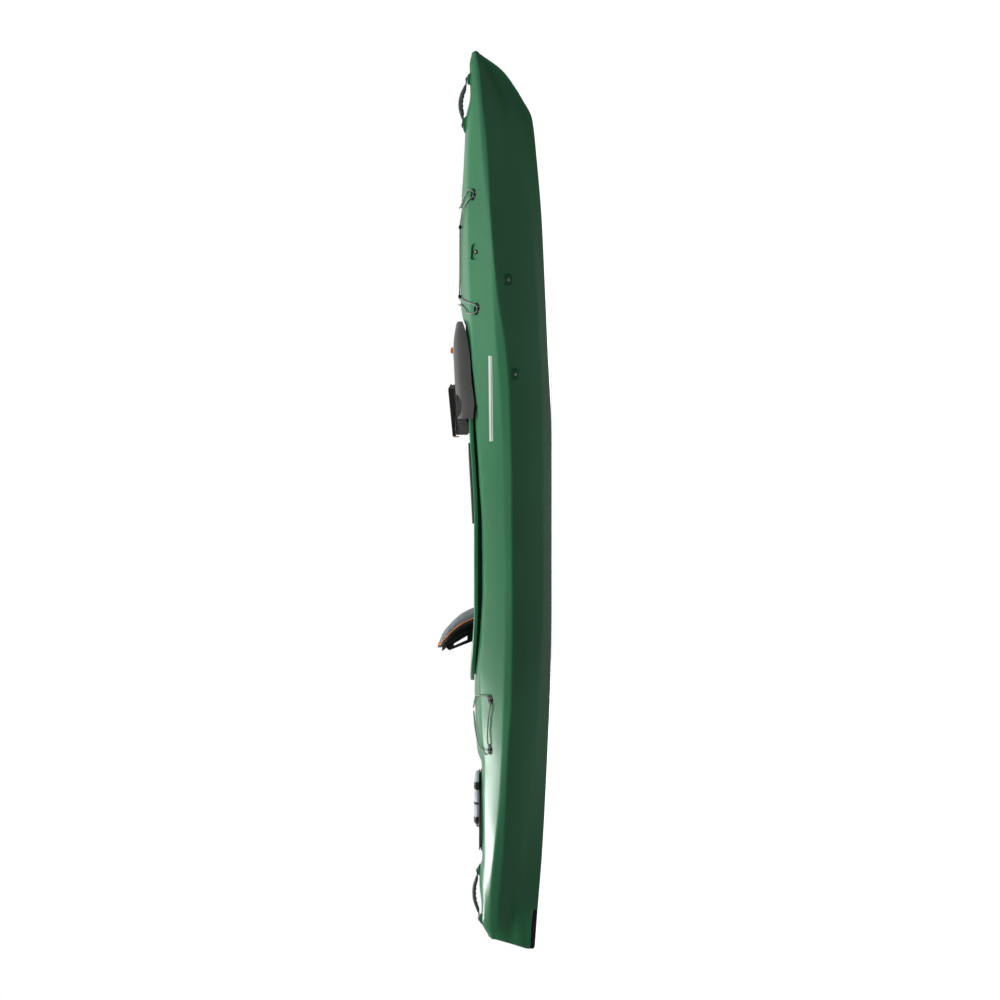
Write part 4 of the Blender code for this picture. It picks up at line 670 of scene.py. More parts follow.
def foam(name, colour):
    made, tree, shader = shader_material(name, colour, 0.92)
    cells = add_node(tree, "ShaderNodeTexVoronoi", {"Vector": place_of(tree), "Scale": 900.0})
    factor = spread(tree, cells.outputs["Distance"], 0.75, 1.15, 0.0, 0.8)
    feed(shader, "Base Color", tint(tree, colour, factor))
    bump(tree, shader, cells.outputs["Distance"], 0.5, 0.0004)
    bump(tree, shader, noise(tree, 60.0, 2.0), 0.3, 0.0008)
    return made


def brushed(name, colour):
    made, tree, shader = shader_material(name, colour, 0.28, 0.7)
    lines = noise(tree, 900.0, 3.0, 0.6, (1.0, 0.08, 1.0))
    feed(shader, "Roughness", spread(tree, lines, 0.20, 0.38))
    bump(tree, shader, lines, 0.15, 0.00005)
    return made


def grip_rubber():
    """Soft-touch grip with a pebbled surface."""
    colour = (0.075, 0.088, 0.100)
    made, tree, shader = shader_material("grip_soft_touch", colour, 0.62)
    pebbles = add_node(tree, "ShaderNodeTexVoronoi", {"Vector": place_of(tree), "Scale": 520.0},
                       feature="SMOOTH_F1")
    feed(shader, "Base Color", tint(tree, colour, spread(tree, noise(tree, 30.0, 3.0), 0.85, 1.15)))
    feed(shader, "Roughness", spread(tree, noise(tree, 90.0, 3.0), 0.52, 0.72))
    bump(tree, shader, pebbles.outputs["Distance"], 0.5, 0.0004)
    return made


make_camera()
PAD_CLOTH = (0.185, 0.220, 0.235)
HULL_GREEN = hull_plastic()
CONSOLE_GREY = moulded("console_moulding", (0.098, 0.097, 0.094), 0.55, 700.0, 0.0002)
DARK_PLASTIC = moulded("dark_nylon", (0.022, 0.023, 0.024), 0.48, 800.0, 0.0002)
LID_PLASTIC = moulded("lid_moulding", (0.020, 0.020, 0.021), 0.42, 500.0, 0.0003)
SEAT_PLASTIC = moulded("seat_moulding", (0.017, 0.018, 0.019), 0.5, 600.0, 0.0002)
ORANGE_PLASTIC = moulded("orange_moulding", (0.80, 0.19, 0.018), 0.42, 900.0, 0.0001, 0.06)
HATCH_LIGHT = moulded("hatch_panel_moulding", (0.36, 0.41, 0.46), 0.38, 900.0, 0.0001, 0.05)
RUBBER = moulded("black_rubber", (0.013, 0.013, 0.014), 0.7, 500.0, 0.0003, 0.15, 0.35)
GRIP = grip_rubber()
BACK_CLOTH = woven("back_cloth", PAD_CLOTH, 0.0022, ("Y", "Z"))
SEAT_CLOTH = woven("seat_cloth", PAD_CLOTH, 0.0022, ("X", "Y"))
PIPING = woven("orange_piping_cloth", (0.78, 0.24, 0.05), 0.0014, ("Y", "Z"), 0.10)
WEBBING = woven("black_webbing", (0.016, 0.017, 0.018), 0.0016, ("X", "Y"), 0.35)
CORD_COVER = braided("shock_cord_cover", (0.30, 0.36, 0.31), (0.05, 0.06, 0.055))
FOAM = foam("closed_cell_foam", (0.055, 0.057, 0.061))
STEEL = brushed("stainless_steel", (0.72, 0.72, 0.70))
MARKING_FILM = moulded("marking_film", (0.62, 0.66, 0.61), 0.4, 900.0, 0.00005, 0.04)


# ------------------------------------------------------------ hull surface
def section_corners(part):
    corners = []
    for breadth, height in HULL_LINES:
        x = mix(breadth[0][0], breadth[-1][0], part)
        corners.append(Vector((x, on_line(breadth, x), on_line(height, x))))
    return corners


def facet_point(start, end, bulge, t):
    chord = end - start
    return start + chord * t + outward(chord) * (4 * bulge * t * (1 - t))


def half_section(part):
    """The plain half section that the fittings are placed on, from the keel to the deck's centre."""
    corners = section_corners(part)
    points = [corners[0]]
    for added, bulge, start, end in zip(COARSE_POINTS, HULL_BULGES, corners, corners[1:]):
        points += [facet_point(start, end, bulge, k / (added + 1)) for k in range(1, added + 1)]
        points.append(end)
    return points


def rounding_part(line, start, end):
    """How much of a facet the rounding at one of its lines takes."""
    return min(MOST_ROUNDING, EDGE_ROUNDING[line] / max((end - start).length, 1e-6))


def fine_half_section(part):
    """The same half section with rounded edges between its facets."""
    corners = section_corners(part)
    points = [corners[0]]
    for i, (start, end) in enumerate(zip(corners, corners[1:])):
        first = rounding_part(i, start, end) if i else 0.0
        final = 1 - rounding_part(i + 1, start, end)
        points += [facet_point(start, end, HULL_BULGES[i], mix(first, final, k / FINE_POINTS[i]))
                   for k in range(0 if i else 1, FINE_POINTS[i] + 1)]
        enters = points[-1]
        if i + 2 < len(corners):
            following = corners[i + 2]
            leaves = facet_point(end, following, HULL_BULGES[i + 1], rounding_part(i + 1, end, following))
            points += [bend(enters, end, leaves, k / 5) for k in range(1, 5)]
        else:
            points += [bend(enters, end, mirrored(enters), k / 6) for k in range(1, 4)]
    points[0].y = 0.0
    points[-1].y = 0.0
    return points


def full_ring(half):
    return half + [mirrored(p) for p in reversed(half[1:-1])]


def inset_ring(half, distance):
    """The half section moved inwards by a distance, square to its own outline."""
    moved = []
    for i, point in enumerate(half):
        before = half[i - 1] if i else Vector((point.x, -half[1].y, half[1].z))
        after = half[i + 1] if i < len(half) - 1 else Vector((point.x, -half[-2].y, half[-2].z))
        first, second = outward(point - before).normalized(), outward(after - point).normalized()
        out = (first + second).normalized()
        moved.append(point - out * (distance / max(0.5, out.dot(first))))
    for point in moved[1:-1]:
        point.y = max(point.y, 0.002)
    return moved


def length_part(x):
    return (x - STERN_X) / (BOW_X - STERN_X)


def section_at(x):
    return half_section(length_part(x))


def station_parts(count):
    """Fractions of the length, closer together towards both ends, with the deck's steps at the hatch."""
    even = [i / (count - 1) for i in range(count)]
    spaced = [0.6 * u + 0.4 * (0.5 - 0.5 * math.cos(math.pi * u)) for u in even]
    forced = [length_part(x) for x in HATCH_WELL]
    clear = [p for p in spaced if min(abs(p - f) for f in forced) > 0.35 / count]
    return sorted(clear + forced)


def side_point(x, z):
    """Point of the port side or deck flank at a height, and the outward direction there."""
    def at(place):
        half = section_at(place)
        for low, high in zip(half[2:], half[3:]):
            if low.z <= z <= high.z:
                return low.lerp(high, (z - low.z) / (high.z - low.z)), high - low
        return half[-1], half[-1] - half[-2]

    point, rise = at(x)
    ahead = at(x + 0.02)[0] - at(x - 0.02)[0]
    return Vector((x, point.y, z)), rise.cross(ahead).normalized()


def deck_height(x, y):
    half = section_at(x)
    for low, high in zip(half[-2::-1], half[:0:-1]):
        if high.y <= abs(y) <= low.y:
            part = (abs(y) - high.y) / max(low.y - high.y, 1e-9)
            return mix(high.z, low.z, part)
    return half[-1].z


def on_deck(x, y, lift):
    step = 0.01
    rise_x = (deck_height(x + step, y) - deck_height(x - step, y)) / (2 * step)
    rise_y = (deck_height(x, y + step) - deck_height(x, y - step)) / (2 * step)
    up = Vector((-rise_x, -rise_y, 1)).normalized()
    return Vector((x, y, deck_height(x, y))) + up * lift


def placed(point, normal, side):
    return Matrix.Translation(mirrored(point, side)) @ frame_along(mirrored(normal, side))


def brace_direction():
    rear, front = (side_point(x, z)[0] for x, z in BRACE_SCREWS)
    along = front - rear
    return Vector((-along.y, along.x, 0)).normalized()


def hull_fittings():
    """Placement of every moulded recess: (name, placement, half length, half width, side)."""
    made = []
    for side_name, side in SIDES:
        for group, eyes in (("rear", REAR_EYES), ("front", FRONT_EYES)):
            for number, eye in enumerate(eyes, 1):
                place = placed(*side_point(*eye), side)
                made.append((f"{group}_eye_{side_name}_{number}", place, *EYE_SIZE, side))
        made.append((f"accessory_cap_{side_name}", placed(*side_point(*BLANK_RECESS), side), *CAP_SIZE, side))
        for number, screw_place in enumerate(BRACE_SCREWS, 1):
            place = placed(side_point(*screw_place)[0], brace_direction(), side)
            made.append((f"brace_screw_{side_name}_{number}", place, *BRACE_SIZE, side))
    return made


FITTINGS = hull_fittings()


def pocket_floor(place):
    return place @ Matrix.Translation((0, 0, -POCKET_DEPTH + GAP))


# ------------------------------------------------------------ coaming and hull
def cockpit_edge(outward_step):
    base = []
    for i in range(COAMING_STEPS):
        angle = 2 * math.pi * (i + 0.5) / COAMING_STEPS
        x, y = superellipse(angle, COCKPIT_HALF_LENGTH, COCKPIT_HALF_WIDTH, 0.77, 0.91)
        base.append(Vector((COCKPIT_CENTRE_X + x, y, 0)))
    points = []
    for i, point in enumerate(base):
        ahead = base[(i + 1) % COAMING_STEPS] - base[i - 1]
        points.append(point + Vector((ahead.y, -ahead.x, 0)).normalized() * outward_step)
    return points


def cockpit_taper(u):
    """Half width at a part of the cockpit's half length, as a part of the greatest."""
    return max(0.0, 1 - u ** 2.6) ** (1 / 2.2)


def lip_half_width(x):
    u = abs(x - COCKPIT_CENTRE_X) / (COCKPIT_HALF_LENGTH + COAMING_LIP)
    return (COCKPIT_HALF_WIDTH + COAMING_LIP) * cockpit_taper(u)


def coaming_ring():
    """The rim around the cockpit: an upright wall with a rounded lip that turns down at its outer edge."""
    lip, depth, skin = COAMING_LIP, COAMING_LIP_DEPTH, COAMING_SKIN
    section = [(-0.003, None), (-0.003, 0.006), (-0.0022, 0.0022), (0.0006, 0.0002), (0.006, 0.0),
               (lip - 0.010, 0.0002), (lip - 0.004, 0.0012), (lip - 0.001, 0.0040), (lip, 0.0080),
               (lip, depth - 0.0010), (lip - 0.0012, depth), (lip - skin + 0.0010, depth),
               (lip - skin, depth - 0.0012), (lip - skin - 0.001, 0.010), (lip - skin - 0.004, 0.0070),
               (skin + 0.004, skin + 0.0010), (skin + 0.001, 0.010), (skin, 0.016), (skin, None)]
    tracks = [cockpit_edge(step) for step, _ in section]
    rings = []
    for i in range(COAMING_STEPS):
        top = on_line(RIM_HEIGHT, tracks[0][i].x)
        ring = []
        for track, (_, drop) in zip(tracks, section):
            flat = track[i]
            foot = min(deck_height(flat.x, flat.y) - 0.004, top - COAMING_LIP_DEPTH)
            ring.append(Vector((flat.x, flat.y, foot if drop is None else top - drop)))
        rings.append(ring)
    return loft(rings, closed=True)


def rounded_end(ring, ahead):
    """Rings that close an end of the hull with a small rounded nose."""
    return [[Vector((p.x + ahead * NOSE_RADIUS * math.sin(a), p.y * math.cos(a), p.z)) for p in ring]
            for a in map(math.radians, (30, 55, 75))]


def hull():
    rings = [full_ring(fine_half_section(p)) for p in station_parts(HULL_STATIONS)]
    rings = list(reversed(rounded_end(rings[0], -1))) + rings + rounded_end(rings[-1], 1)
    shell = new_object("hull", loft(rings))

    inside = [p for p in station_parts(HOLLOW_STATIONS)
              if HOLLOW_ENDS[0] < mix(STERN_X, BOW_X, p) < HOLLOW_ENDS[1]]
    hollow = new_object("hollow", loft([full_ring(inset_ring(half_section(p), SKIN)) for p in inside]))
    bosses = []
    for name, place, length, _, _ in FITTINGS:
        depth = BRACE_DEPTH - GAP if name.startswith("brace") else POCKET_DEPTH + SKIN
        bosses.append(cylinder(1.25 * length, -depth, 0.02, place, 24))
    cut(hollow, "DIFFERENCE", merged(bosses))
    cut(shell, "DIFFERENCE", taken_back(hollow))

    ledge = oval(HATCH_X, HATCH_HALF_LENGTH + 0.006, HATCH_HALF_WIDTH + 0.006, 96, HATCH_POWER)
    added = [coaming_ring(), deck_prism(ledge, HATCH_SEAT_Z - 0.008, HATCH_SEAT_Z)]
    added += [side_prism(outline, -BOSS_HALF_WIDTH, BOSS_HALF_WIDTH) for outline in HANDLE_BOSSES]
    cut(shell, "UNION", merged(added))

    opening = [(p.x, p.y) for p in cockpit_edge(0.0)]
    neck = oval(HATCH_X, HATCH_HALF_LENGTH - HATCH_NECK_INSET, HATCH_HALF_WIDTH - HATCH_NECK_INSET, 96,
                HATCH_POWER)
    taken = [deck_prism(opening, 0.235, 0.5), deck_prism(neck, 0.24, 0.4)]
    levels = [(-0.0035, -POCKET_DEPTH), (-0.0015, -POCKET_DEPTH + 0.0012), (-0.0005, -0.004),
              (0.0003, -0.0015), (0.0016, 0.0001), (0.008, 0.012)]
    for name, place, length, width, _ in FITTINGS:
        taken.append(pocket(place, length, width, 2.0 if "_eye_" in name else 4.5, levels))
    notch = [(-1.880, 0.040), (-1.880, 0.0905), (SKID_FRONT_X, 0.0785), (SKID_FRONT_X, 0.040)]
    taken.append(side_prism(notch, -0.05, 0.05))
    cut(shell, "DIFFERENCE", merged(taken))
    holes = [cylinder(SCREW_RADIUS + GAP, -0.05, 0.0, place, 16)
             for name, place, _, _, _ in FITTINGS if name.startswith("brace_screw")]
    holes += [cylinder(HANDLE_SCREW_RADIUS + GAP, -0.012, 0.05, Matrix.Translation(point), 16)
              for point in HANDLE_SCREWS.values()]
    cut(shell, "DIFFERENCE", merged(holes))
    finish_edges(shell, sharp=30.0)
    place_piece(shell, "hull", HULL_GREEN, ["hull_shell"])


hull()


# ------------------------------------------------------------ side marking
MARKING_ENDS = (0.240, 0.590)               # x of the side stripes' ends
MARKING_STRIPES = [(0.2475, 0.2565), (0.2420, 0.2445)]     # z of each stripe's edges at its rear end
MARKING_RISE = 0.004                        # from its rear end to its front end
MARKING_STEPS = 40
MARKING_LIFT = 0.0003                       # of its face over the hull's skin


def side_film(edges, skin):
    """A thin film lying on the hull's port side, from the (x, z) places of its lower and upper edge."""
    rings = []
    for low, high in edges:
        outer, inner = [], []
        for k in range(5):
            x, z = (mix(a, b, k / 4) for a, b in zip(low, high))
            point, normal = skin.ray_cast(Vector((x, 1.0, z)), Vector((0, -1, 0)))[:2]
            outer.append(point + normal * MARKING_LIFT)
            inner.append(point - normal * MARKING_LIFT)
        rings.append(outer + inner[::-1])
    return loft(rings)


def side_marking():
    """Two plain pale stripes on each side of the hull, without any lettering."""
    skin = BVHTree.FromObject(bpy.data.objects["hull"], bpy.context.evaluated_depsgraph_get())
    stripes = []
    for low, high in MARKING_STRIPES:
        places = []
        for k in range(MARKING_STEPS + 1):
            part = k / MARKING_STEPS
            x = mix(*MARKING_ENDS, part)
            places.append(((x, low + part * MARKING_RISE), (x, high + part * MARKING_RISE)))
        stripes.append(side_film(places, skin))
    port = merged(stripes)
    starboard = port.copy()
    starboard.transform(Matrix.Diagonal((1, -1, 1, 1)))
    bmesh.ops.reverse_faces(starboard, faces=starboard.faces)
    add_piece("side_marking", merged([port, starboard]), "hull", MARKING_FILM, sharp=45.0)


# ------------------------------------------------------------ screws, handles and deck fittings
def screw_mesh(radius, height, place):
    """A pan-head screw with a cross recess, seen from above its placement."""
    profile = [(radius, -0.0006), (radius, 0.25 * height), (0.97 * radius, 0.5 * height),
               (0.85 * radius, 0.78 * height), (0.62 * radius, 0.95 * height), (0.30 * radius, height)]
    head = new_object("head", turned(profile, place, 32))
    arm, slot_width, depth = 0.58 * radius, 0.13 * radius, 0.55 * height
    for half_x, half_y in ((arm, slot_width), (slot_width, arm)):
        recess = box((-half_x, -half_y, height - depth), (half_x, half_y, height + 0.002), place)
        cut(head, "DIFFERENCE", recess)
    return taken_back(head)


def screw(name, place, radius, height, nodes=(), shank=None):
    parts = [screw_mesh(radius, height, place)]
    if shank:
        parts.append(cylinder(shank[0], -shank[1], -0.0008, place, 20))
    add_piece(name, merged(parts), "hull", STEEL, nodes, sharp=40.0)


def grip_section(x, low, high, half_width):
    middle, half_height = (low + high) / 2, (high - low) / 2
    ring = []
    for k in range(28):
        y, z = superellipse(2 * math.pi * (k + 0.5) / 28, half_width, half_height, 2 / 3.2, 2 / 3.2)
        ring.append(Vector((x, y, middle + z)))
    return ring


def handle_grip(rear, front, rise, thick, half_width):
    """A bowed grip between two screws, with flat feet and finger ridges underneath."""
    ridges, steps = 5, 150
    (rear_x, _, rear_z), (front_x, _, front_z) = rear, front
    start_x, end_x = rear_x - 0.012, front_x + 0.012
    bow_start, bow_end = rear_x + 0.0225, front_x - 0.0175
    rings = []
    for k in range(steps + 1):
        x = mix(start_x, end_x, k / steps)
        t = clamped((x - bow_start) / (bow_end - bow_start))
        base = mix(rear_z, front_z, clamped((x - rear_x) / (front_x - rear_x))) + GAP
        wave = max(0.0, math.sin(math.pi * t))
        upper = base + HANDLE_FOOT + rise * (0.62 * wave ** 0.7 + 0.35 * wave)
        lower = base + max(0.0, rise * wave ** 0.7 - thick + HANDLE_FOOT)
        in_grip = clamped((t - 0.20) / 0.06) * clamped((0.82 - t) / 0.06)
        ridge = 0.5 - 0.5 * math.cos(2 * math.pi * ridges * (t - 0.20) / 0.62)
        lower += in_grip * 0.0022 * (1 - ridge) - in_grip * 0.0006
        width = half_width * (1 - 0.22 * wave) + 0.0012 * in_grip
        ends = min(1.0, (min(x - start_x, end_x - x) + 0.0008) / 0.006)
        width *= math.sqrt(max(0.05, 1 - (1 - ends) ** 2))
        thin = 0.0012 * (1 - ends)
        rings.append(grip_section(x, lower + thin, upper + in_grip * 0.0008 - thin, width))
    return loft(rings)


def carry_handles():
    for end, *shape in (("bow", 0.0225, 0.0205, 0.014), ("stern", 0.0215, 0.0165, 0.013)):
        name = end + "_handle"
        rear, front = (HANDLE_SCREWS[f"{name}_screw_{place}"] for place in ("rear", "front"))
        grip = new_object(name + "_grip", handle_grip(rear, front, *shape))
        holes = [cylinder(HANDLE_SCREW_RADIUS + GAP, -0.01, 0.03, Matrix.Translation(point), 20)
                 for key, point in HANDLE_SCREWS.items() if key.startswith(end)]
        cut(grip, "DIFFERENCE", merged(holes))
        finish_edges(grip, sharp=45.0)
        place_piece(grip, "hull", GRIP, [name])
    for name, point in HANDLE_SCREWS.items():
        place = Matrix.Translation(Vector(point) + Vector((0, 0, HANDLE_FOOT + 2 * GAP)))
        screw(name + "_head", place, 0.0055, 0.0032, [name], (HANDLE_SCREW_RADIUS, 0.0155))


def deck_eyes():
    """An oval plate with an arch for the shock cord, held in its recess by two small screws."""
    foot = [(0.0008, 0.001), (0.0002, 0.0035), (0.0, 0.0065)]
    reach = 0.0065
    arch = [(-reach - wider, z) for wider, z in foot]
    arch += [(-reach * math.cos(a), 0.0065 + reach * math.sin(a))
             for a in (math.pi * k / 14 for k in range(1, 14))]
    arch += [(reach + wider, z) for wider, z in reversed(foot)]
    for name, place, length, width, side in FITTINGS:
        if "_eye_" not in name:
            continue
        floor = pocket_floor(place)
        rim = width - 0.004
        plate = turned([(rim, 0.0), (rim, 0.0018), (rim - 0.0006, 0.0026), (rim - 0.0016, 0.0030),
                        (rim - 0.006, 0.0031)], floor, 40, (length - 0.004) / rim)
        bar = tube([floor @ Vector((0, y, z)) for y, z in arch], 0.0022, 14)
        add_piece(name + "_fitting", merged([plate, bar]), "hull", DARK_PLASTIC, [name], sharp=40.0)
        for number, x in enumerate((-0.0098, 0.0098), 1):
            spot = floor @ Matrix.Translation((x, 0.0058 * side, 0.0030))
            screw(f"{name}_screw_{number}", spot, 0.0024, 0.0012)


def accessory_caps():
    profile = [(0.0105, 0.0), (0.0105, 0.0012), (0.0100, 0.0019), (0.0092, 0.0022), (0.0075, 0.0024),
               (0.0070, 0.0038), (0.0062, 0.0043), (0.004, 0.0045)]
    for name, place, _, _, _ in FITTINGS:
        if name.startswith("accessory_cap"):
            add_piece(name + "_plug", turned(profile, pocket_floor(place), 40), "hull", DARK_PLASTIC, [name],
                      sharp=40.0)
            top = pocket_floor(place) @ Matrix.Translation((0, 0, profile[-1][1]))
            screw(name + "_screw", top, 0.0042, 0.0014)


def brace_screws():
    for name, place, _, _, _ in FITTINGS:
        if name.startswith("brace_screw"):
            screw(name + "_head", pocket_floor(place), 0.0068, 0.0040, [name],
                  (SCREW_RADIUS, BRACE_DEPTH + 0.009 - POCKET_DEPTH))


# ------------------------------------------------------------ shock cords
def smooth_route(points, spacing):
    """An endless smooth curve through the route's own points, evenly sampled."""
    total = len(points)
    sampled = []
    for i in range(total):
        p0, p1, p2, p3 = (points[(i + k) % total] for k in (-1, 0, 1, 2))
        steps = max(1, round((p2 - p1).length / spacing))
        for k in range(steps):
            t = k / steps
            sampled.append(0.5 * (
                2 * p1 + (p2 - p0) * t + (2 * p0 - 5 * p1 + 4 * p2 - p3) * t * t
                + (3 * p1 - p0 - 3 * p2 + p3) * t ** 3
            ))
    return sampled


def crossing(stops, start_side):
    lifts = [0.0080] + [CORD_LIFT] * (len(stops) - 1)
    near = [on_deck(x, start_side * y, lift) for (x, y), lift in zip(stops, lifts)]
    far = [on_deck(x, -start_side * y, lift) for (x, y), lift in zip(stops, lifts)]
    return near + list(reversed(far[:-1]))


def eye_passage(place, stern_exit, bow_exit):
    """Points through an eye from stern to bow; each end leaves it along the boat or up the deck."""
    centre = place @ Vector((0, 0, -POCKET_DEPTH + GAP + EYE_LIFT))
    turn = place.to_3x3()
    ahead, out = (turn @ Vector(axis) for axis in ((1, 0, 0), (0, 0, 1)))
    up = turn @ Vector((0, 1, 0))
    up = -up if up.z < 0 else up

    def leave(way, exit_name):
        if exit_name == "along":
            return [centre + ahead * way * 0.012 + out * 0.0010, centre + ahead * way * 0.030 + out * 0.0075]
        return [centre + ahead * way * 0.012 + up * 0.003 + out * 0.0018,
                centre + ahead * way * 0.019 + up * 0.016 + out * 0.0092]

    return list(reversed(leave(-1, stern_exit))) + [centre] + leave(1, bow_exit)


def side_run(start, end):
    points = []
    side = 1 if start.y > 0 else -1
    for k in (1, 2, 3):
        t = k / 4
        point, normal = side_point(mix(start.x, end.x, t), mix(start.z, end.z, t))
        points.append(mirrored(point + normal * CORD_LIFT, side))
    return points


def front_deck_run(side):
    """The strand that climbs to the deck's crown, runs forward through two beads, and comes down again."""
    points = []
    stops = [(0.812, 0.188, 0.0072), (0.818, 0.140, 0.0060), (0.828, 0.080, 0.0060),
             (BEAD_XS[0], BEAD_Y, 0.0066), (0.93, BEAD_Y, 0.0058), (1.03, BEAD_Y, 0.0058),
             (BEAD_XS[1], BEAD_Y, 0.0066), (1.160, 0.050, 0.0060), (1.198, 0.084, 0.0070)]
    centres = [on_deck(x, side * y, lift) for x, y, lift in stops]
    for i, centre in enumerate(centres):
        if stops[i][0] in BEAD_XS:
            ahead = (centres[i + 1] - centres[i - 1]).normalized()
            points += [centre - ahead * 0.011, centre, centre + ahead * 0.011]
        else:
            points.append(centre)
    return points


def bungees():
    places = {name: place for name, place, _, _, _ in FITTINGS}
    for group in ("rear", "front"):
        exits = [("up", "along"), ("along", "up")] if group == "rear" else [("up", "up"), ("up", "up")]
        route = []
        for side_name, side in SIDES:
            first, second = (eye_passage(places[f"{group}_eye_{side_name}_{number}"], *leaving)
                             for number, leaving in enumerate(exits, 1))
            between = side_run(first[-1], second[0]) if group == "rear" else front_deck_run(side)
            strand = first + between + second
            if side == 1:
                route = strand + crossing(CROSSINGS[group][1], 1)
            else:
                route += list(reversed(strand)) + crossing(CROSSINGS[group][0], -1)
        points = smooth_route(route, CORD_SPACING)
        cord = tube(points, BUNGEE_RADIUS, 12, closed=True, uv_length=0.009)
        cord = new_object(f"{group}_shock_cord", cord)
        cord.data.shade_smooth()
        place_piece(cord, "hull", CORD_COVER, [f"{group}_bungee"])


def bungee_beads():
    outer = [(0.0036, -0.0065), (0.0048, -0.0066), (0.0056, -0.0056), (0.0060, -0.0030), (0.0062, 0.0),
             (0.0060, 0.0030), (0.0056, 0.0056), (0.0048, 0.0066), (0.0036, 0.0065)]
    for side_name, side in SIDES:
        route = front_deck_run(side)
        for number, index in enumerate(BEAD_STOPS, 1):
            ahead = (route[index + 1] - route[index - 1]).normalized()
            place = Matrix.Translation(route[index]) @ frame_along(ahead, Vector((0, 0, 1)))
            bead = turned(outer, place, 28, closed=True)
            add_piece(f"cord_bead_{side_name}_{number}", bead, "hull", RUBBER,
                      [f"bungee_bead_{side_name}_{number}"], sharp=50.0)


carry_handles()
deck_eyes()
accessory_caps()
brace_screws()
bungees()
bungee_beads()
refined("skid_plate", RUBBER, 0.0022, 4)


# ------------------------------------------------------------ rear hatch
HATCH_RIM_TOP = HATCH_SEAT_Z + GAP + 0.0035
GASKET_LOW = HATCH_RIM_TOP + GAP
COVER_LOW = GASKET_LOW + 0.0018 + GAP
COVER_TOP = COVER_LOW + 0.0052
PANEL_LOW = COVER_TOP + GAP
PANEL_CENTRE = (HATCH_PANEL[0] + HATCH_PANEL[1]) / 2
PANEL_HALF_LENGTH = (HATCH_PANEL[1] - HATCH_PANEL[0]) / 2
PANEL_HALF_WIDTH = HATCH_HALF_WIDTH - 0.012
PANEL_STEPS = [(0.0, 0.0), (0.0, 0.0065), (0.0008, 0.0092), (0.0030, 0.0118), (0.008, 0.0140),
               (0.018, 0.0163), (0.032, 0.0177), (0.050, 0.0185), (0.075, 0.0188)]  # (inset, rise)
# Each strap's x, width and whether it has buckles.
HATCH_STRAPS = [(-1.3190, 0.025, True), (-1.2510, 0.010, False), (-1.1790, 0.025, True)]


def hatch_ring(margin, band, z_low, z_high, rounding):
    """A flat ring with rounded upper edges, a margin inside the hatch's outline."""
    rings = []
    insets = (0.0, 0.0, rounding, band - rounding, band, band)
    half_length, half_width = HATCH_HALF_LENGTH - margin, HATCH_HALF_WIDTH - margin
    outlines = [oval(HATCH_X, half_length - inset, half_width - inset, OVAL_STEPS, HATCH_POWER)
                for inset in insets]
    heights = (z_low, z_high - rounding, z_high, z_high, z_high - rounding, z_low)
    for corner in zip(*outlines):
        rings.append([Vector((x, y, z)) for (x, y), z in zip(corner, heights)])
    return loft(rings, closed=True)


def oval_edge(x, centre, half_length, half_width, power):
    """Half-breadth of an oval outline."""
    u = min(1.0, abs(x - centre) / half_length)
    return half_width * (1 - u ** power) ** (1 / power)


def panel_edge(x, inset):
    """Half-breadth of the raised panel at one of its levels."""
    return oval_edge(x, PANEL_CENTRE, PANEL_HALF_LENGTH - inset, PANEL_HALF_WIDTH - inset, PANEL_POWER)


def strap_over_hatch(name, x, width):
    """Webbing that lies over the cover and its raised panel from one side to the other."""
    clear, thickness = 0.0004, 0.0013
    cover_edge = oval_edge(x, HATCH_X, HATCH_HALF_LENGTH - 0.001, HATCH_HALF_WIDTH - 0.001, HATCH_POWER)
    half_path = [(cover_edge - 0.0035, COVER_TOP + clear), (panel_edge(x, 0) + 0.0042, COVER_TOP + clear),
                 (panel_edge(x, 0) + 0.0012, COVER_TOP + 0.0020)]
    half_path += [(panel_edge(x, inset) + 0.0005, PANEL_LOW + rise + clear) for inset, rise in PANEL_STEPS[1:]
                  if panel_edge(x, inset) > 0.012]
    middle = (0.0, PANEL_LOW + PANEL_STEPS[-1][1] + clear)
    path = half_path + [middle] + [(-y, z) for y, z in reversed(half_path)]
    half = width / 2
    section = [(-half, 0.0), (-half + 0.0004, thickness * 0.8), (-half + 0.0012, thickness),
               (0.0, thickness * 1.05), (half - 0.0012, thickness), (half - 0.0004, thickness * 0.8),
               (half, 0.0)]
    rings = []
    for i, (y, z) in enumerate(path):
        before, after = path[max(i - 1, 0)], path[min(i + 1, len(path) - 1)]
        out = outward(Vector((0, after[0] - before[0], after[1] - before[1])).normalized())
        if out.z < -0.01 or (out.z < 0 and abs(y) < 0.05):
            out = -out
        rings.append([Vector((x, y, z)) + Vector((a, 0, 0)) + out * b for a, b in section])
    add_piece(name, loft(rings), "hatch_lid", WEBBING, sharp=50.0)


def hatch_buckle(name, x, side, width):
    """A ladder-lock buckle on the raised panel's side, with two bars that the webbing passes."""
    step = 0.004
    slope = panel_edge(x + step, 0) - panel_edge(x - step, 0)
    tangent = Vector((2 * step, side * slope, 0)).normalized()
    out = Vector((-tangent.y, tangent.x, 0)) * side
    place = Matrix((tangent, out, Vector((0, 0, 1)))).transposed().to_4x4()
    place = Matrix.Translation((x, side * panel_edge(x, 0.0), COVER_TOP + 0.0012)) @ place
    half = width / 2
    buckle = new_object(name, box((-half, 0.0008, 0.0), (half, 0.0052, 0.0125), place))
    cut(buckle, "DIFFERENCE", merged([box((-half + 0.0035, -0.01, low), (half - 0.0035, 0.02, high), place)
                                      for low, high in ((0.0022, 0.0052), (0.0076, 0.0104))]))
    finish_edges(buckle, 0.0007)
    place_piece(buckle, "hatch_lid", DARK_PLASTIC)


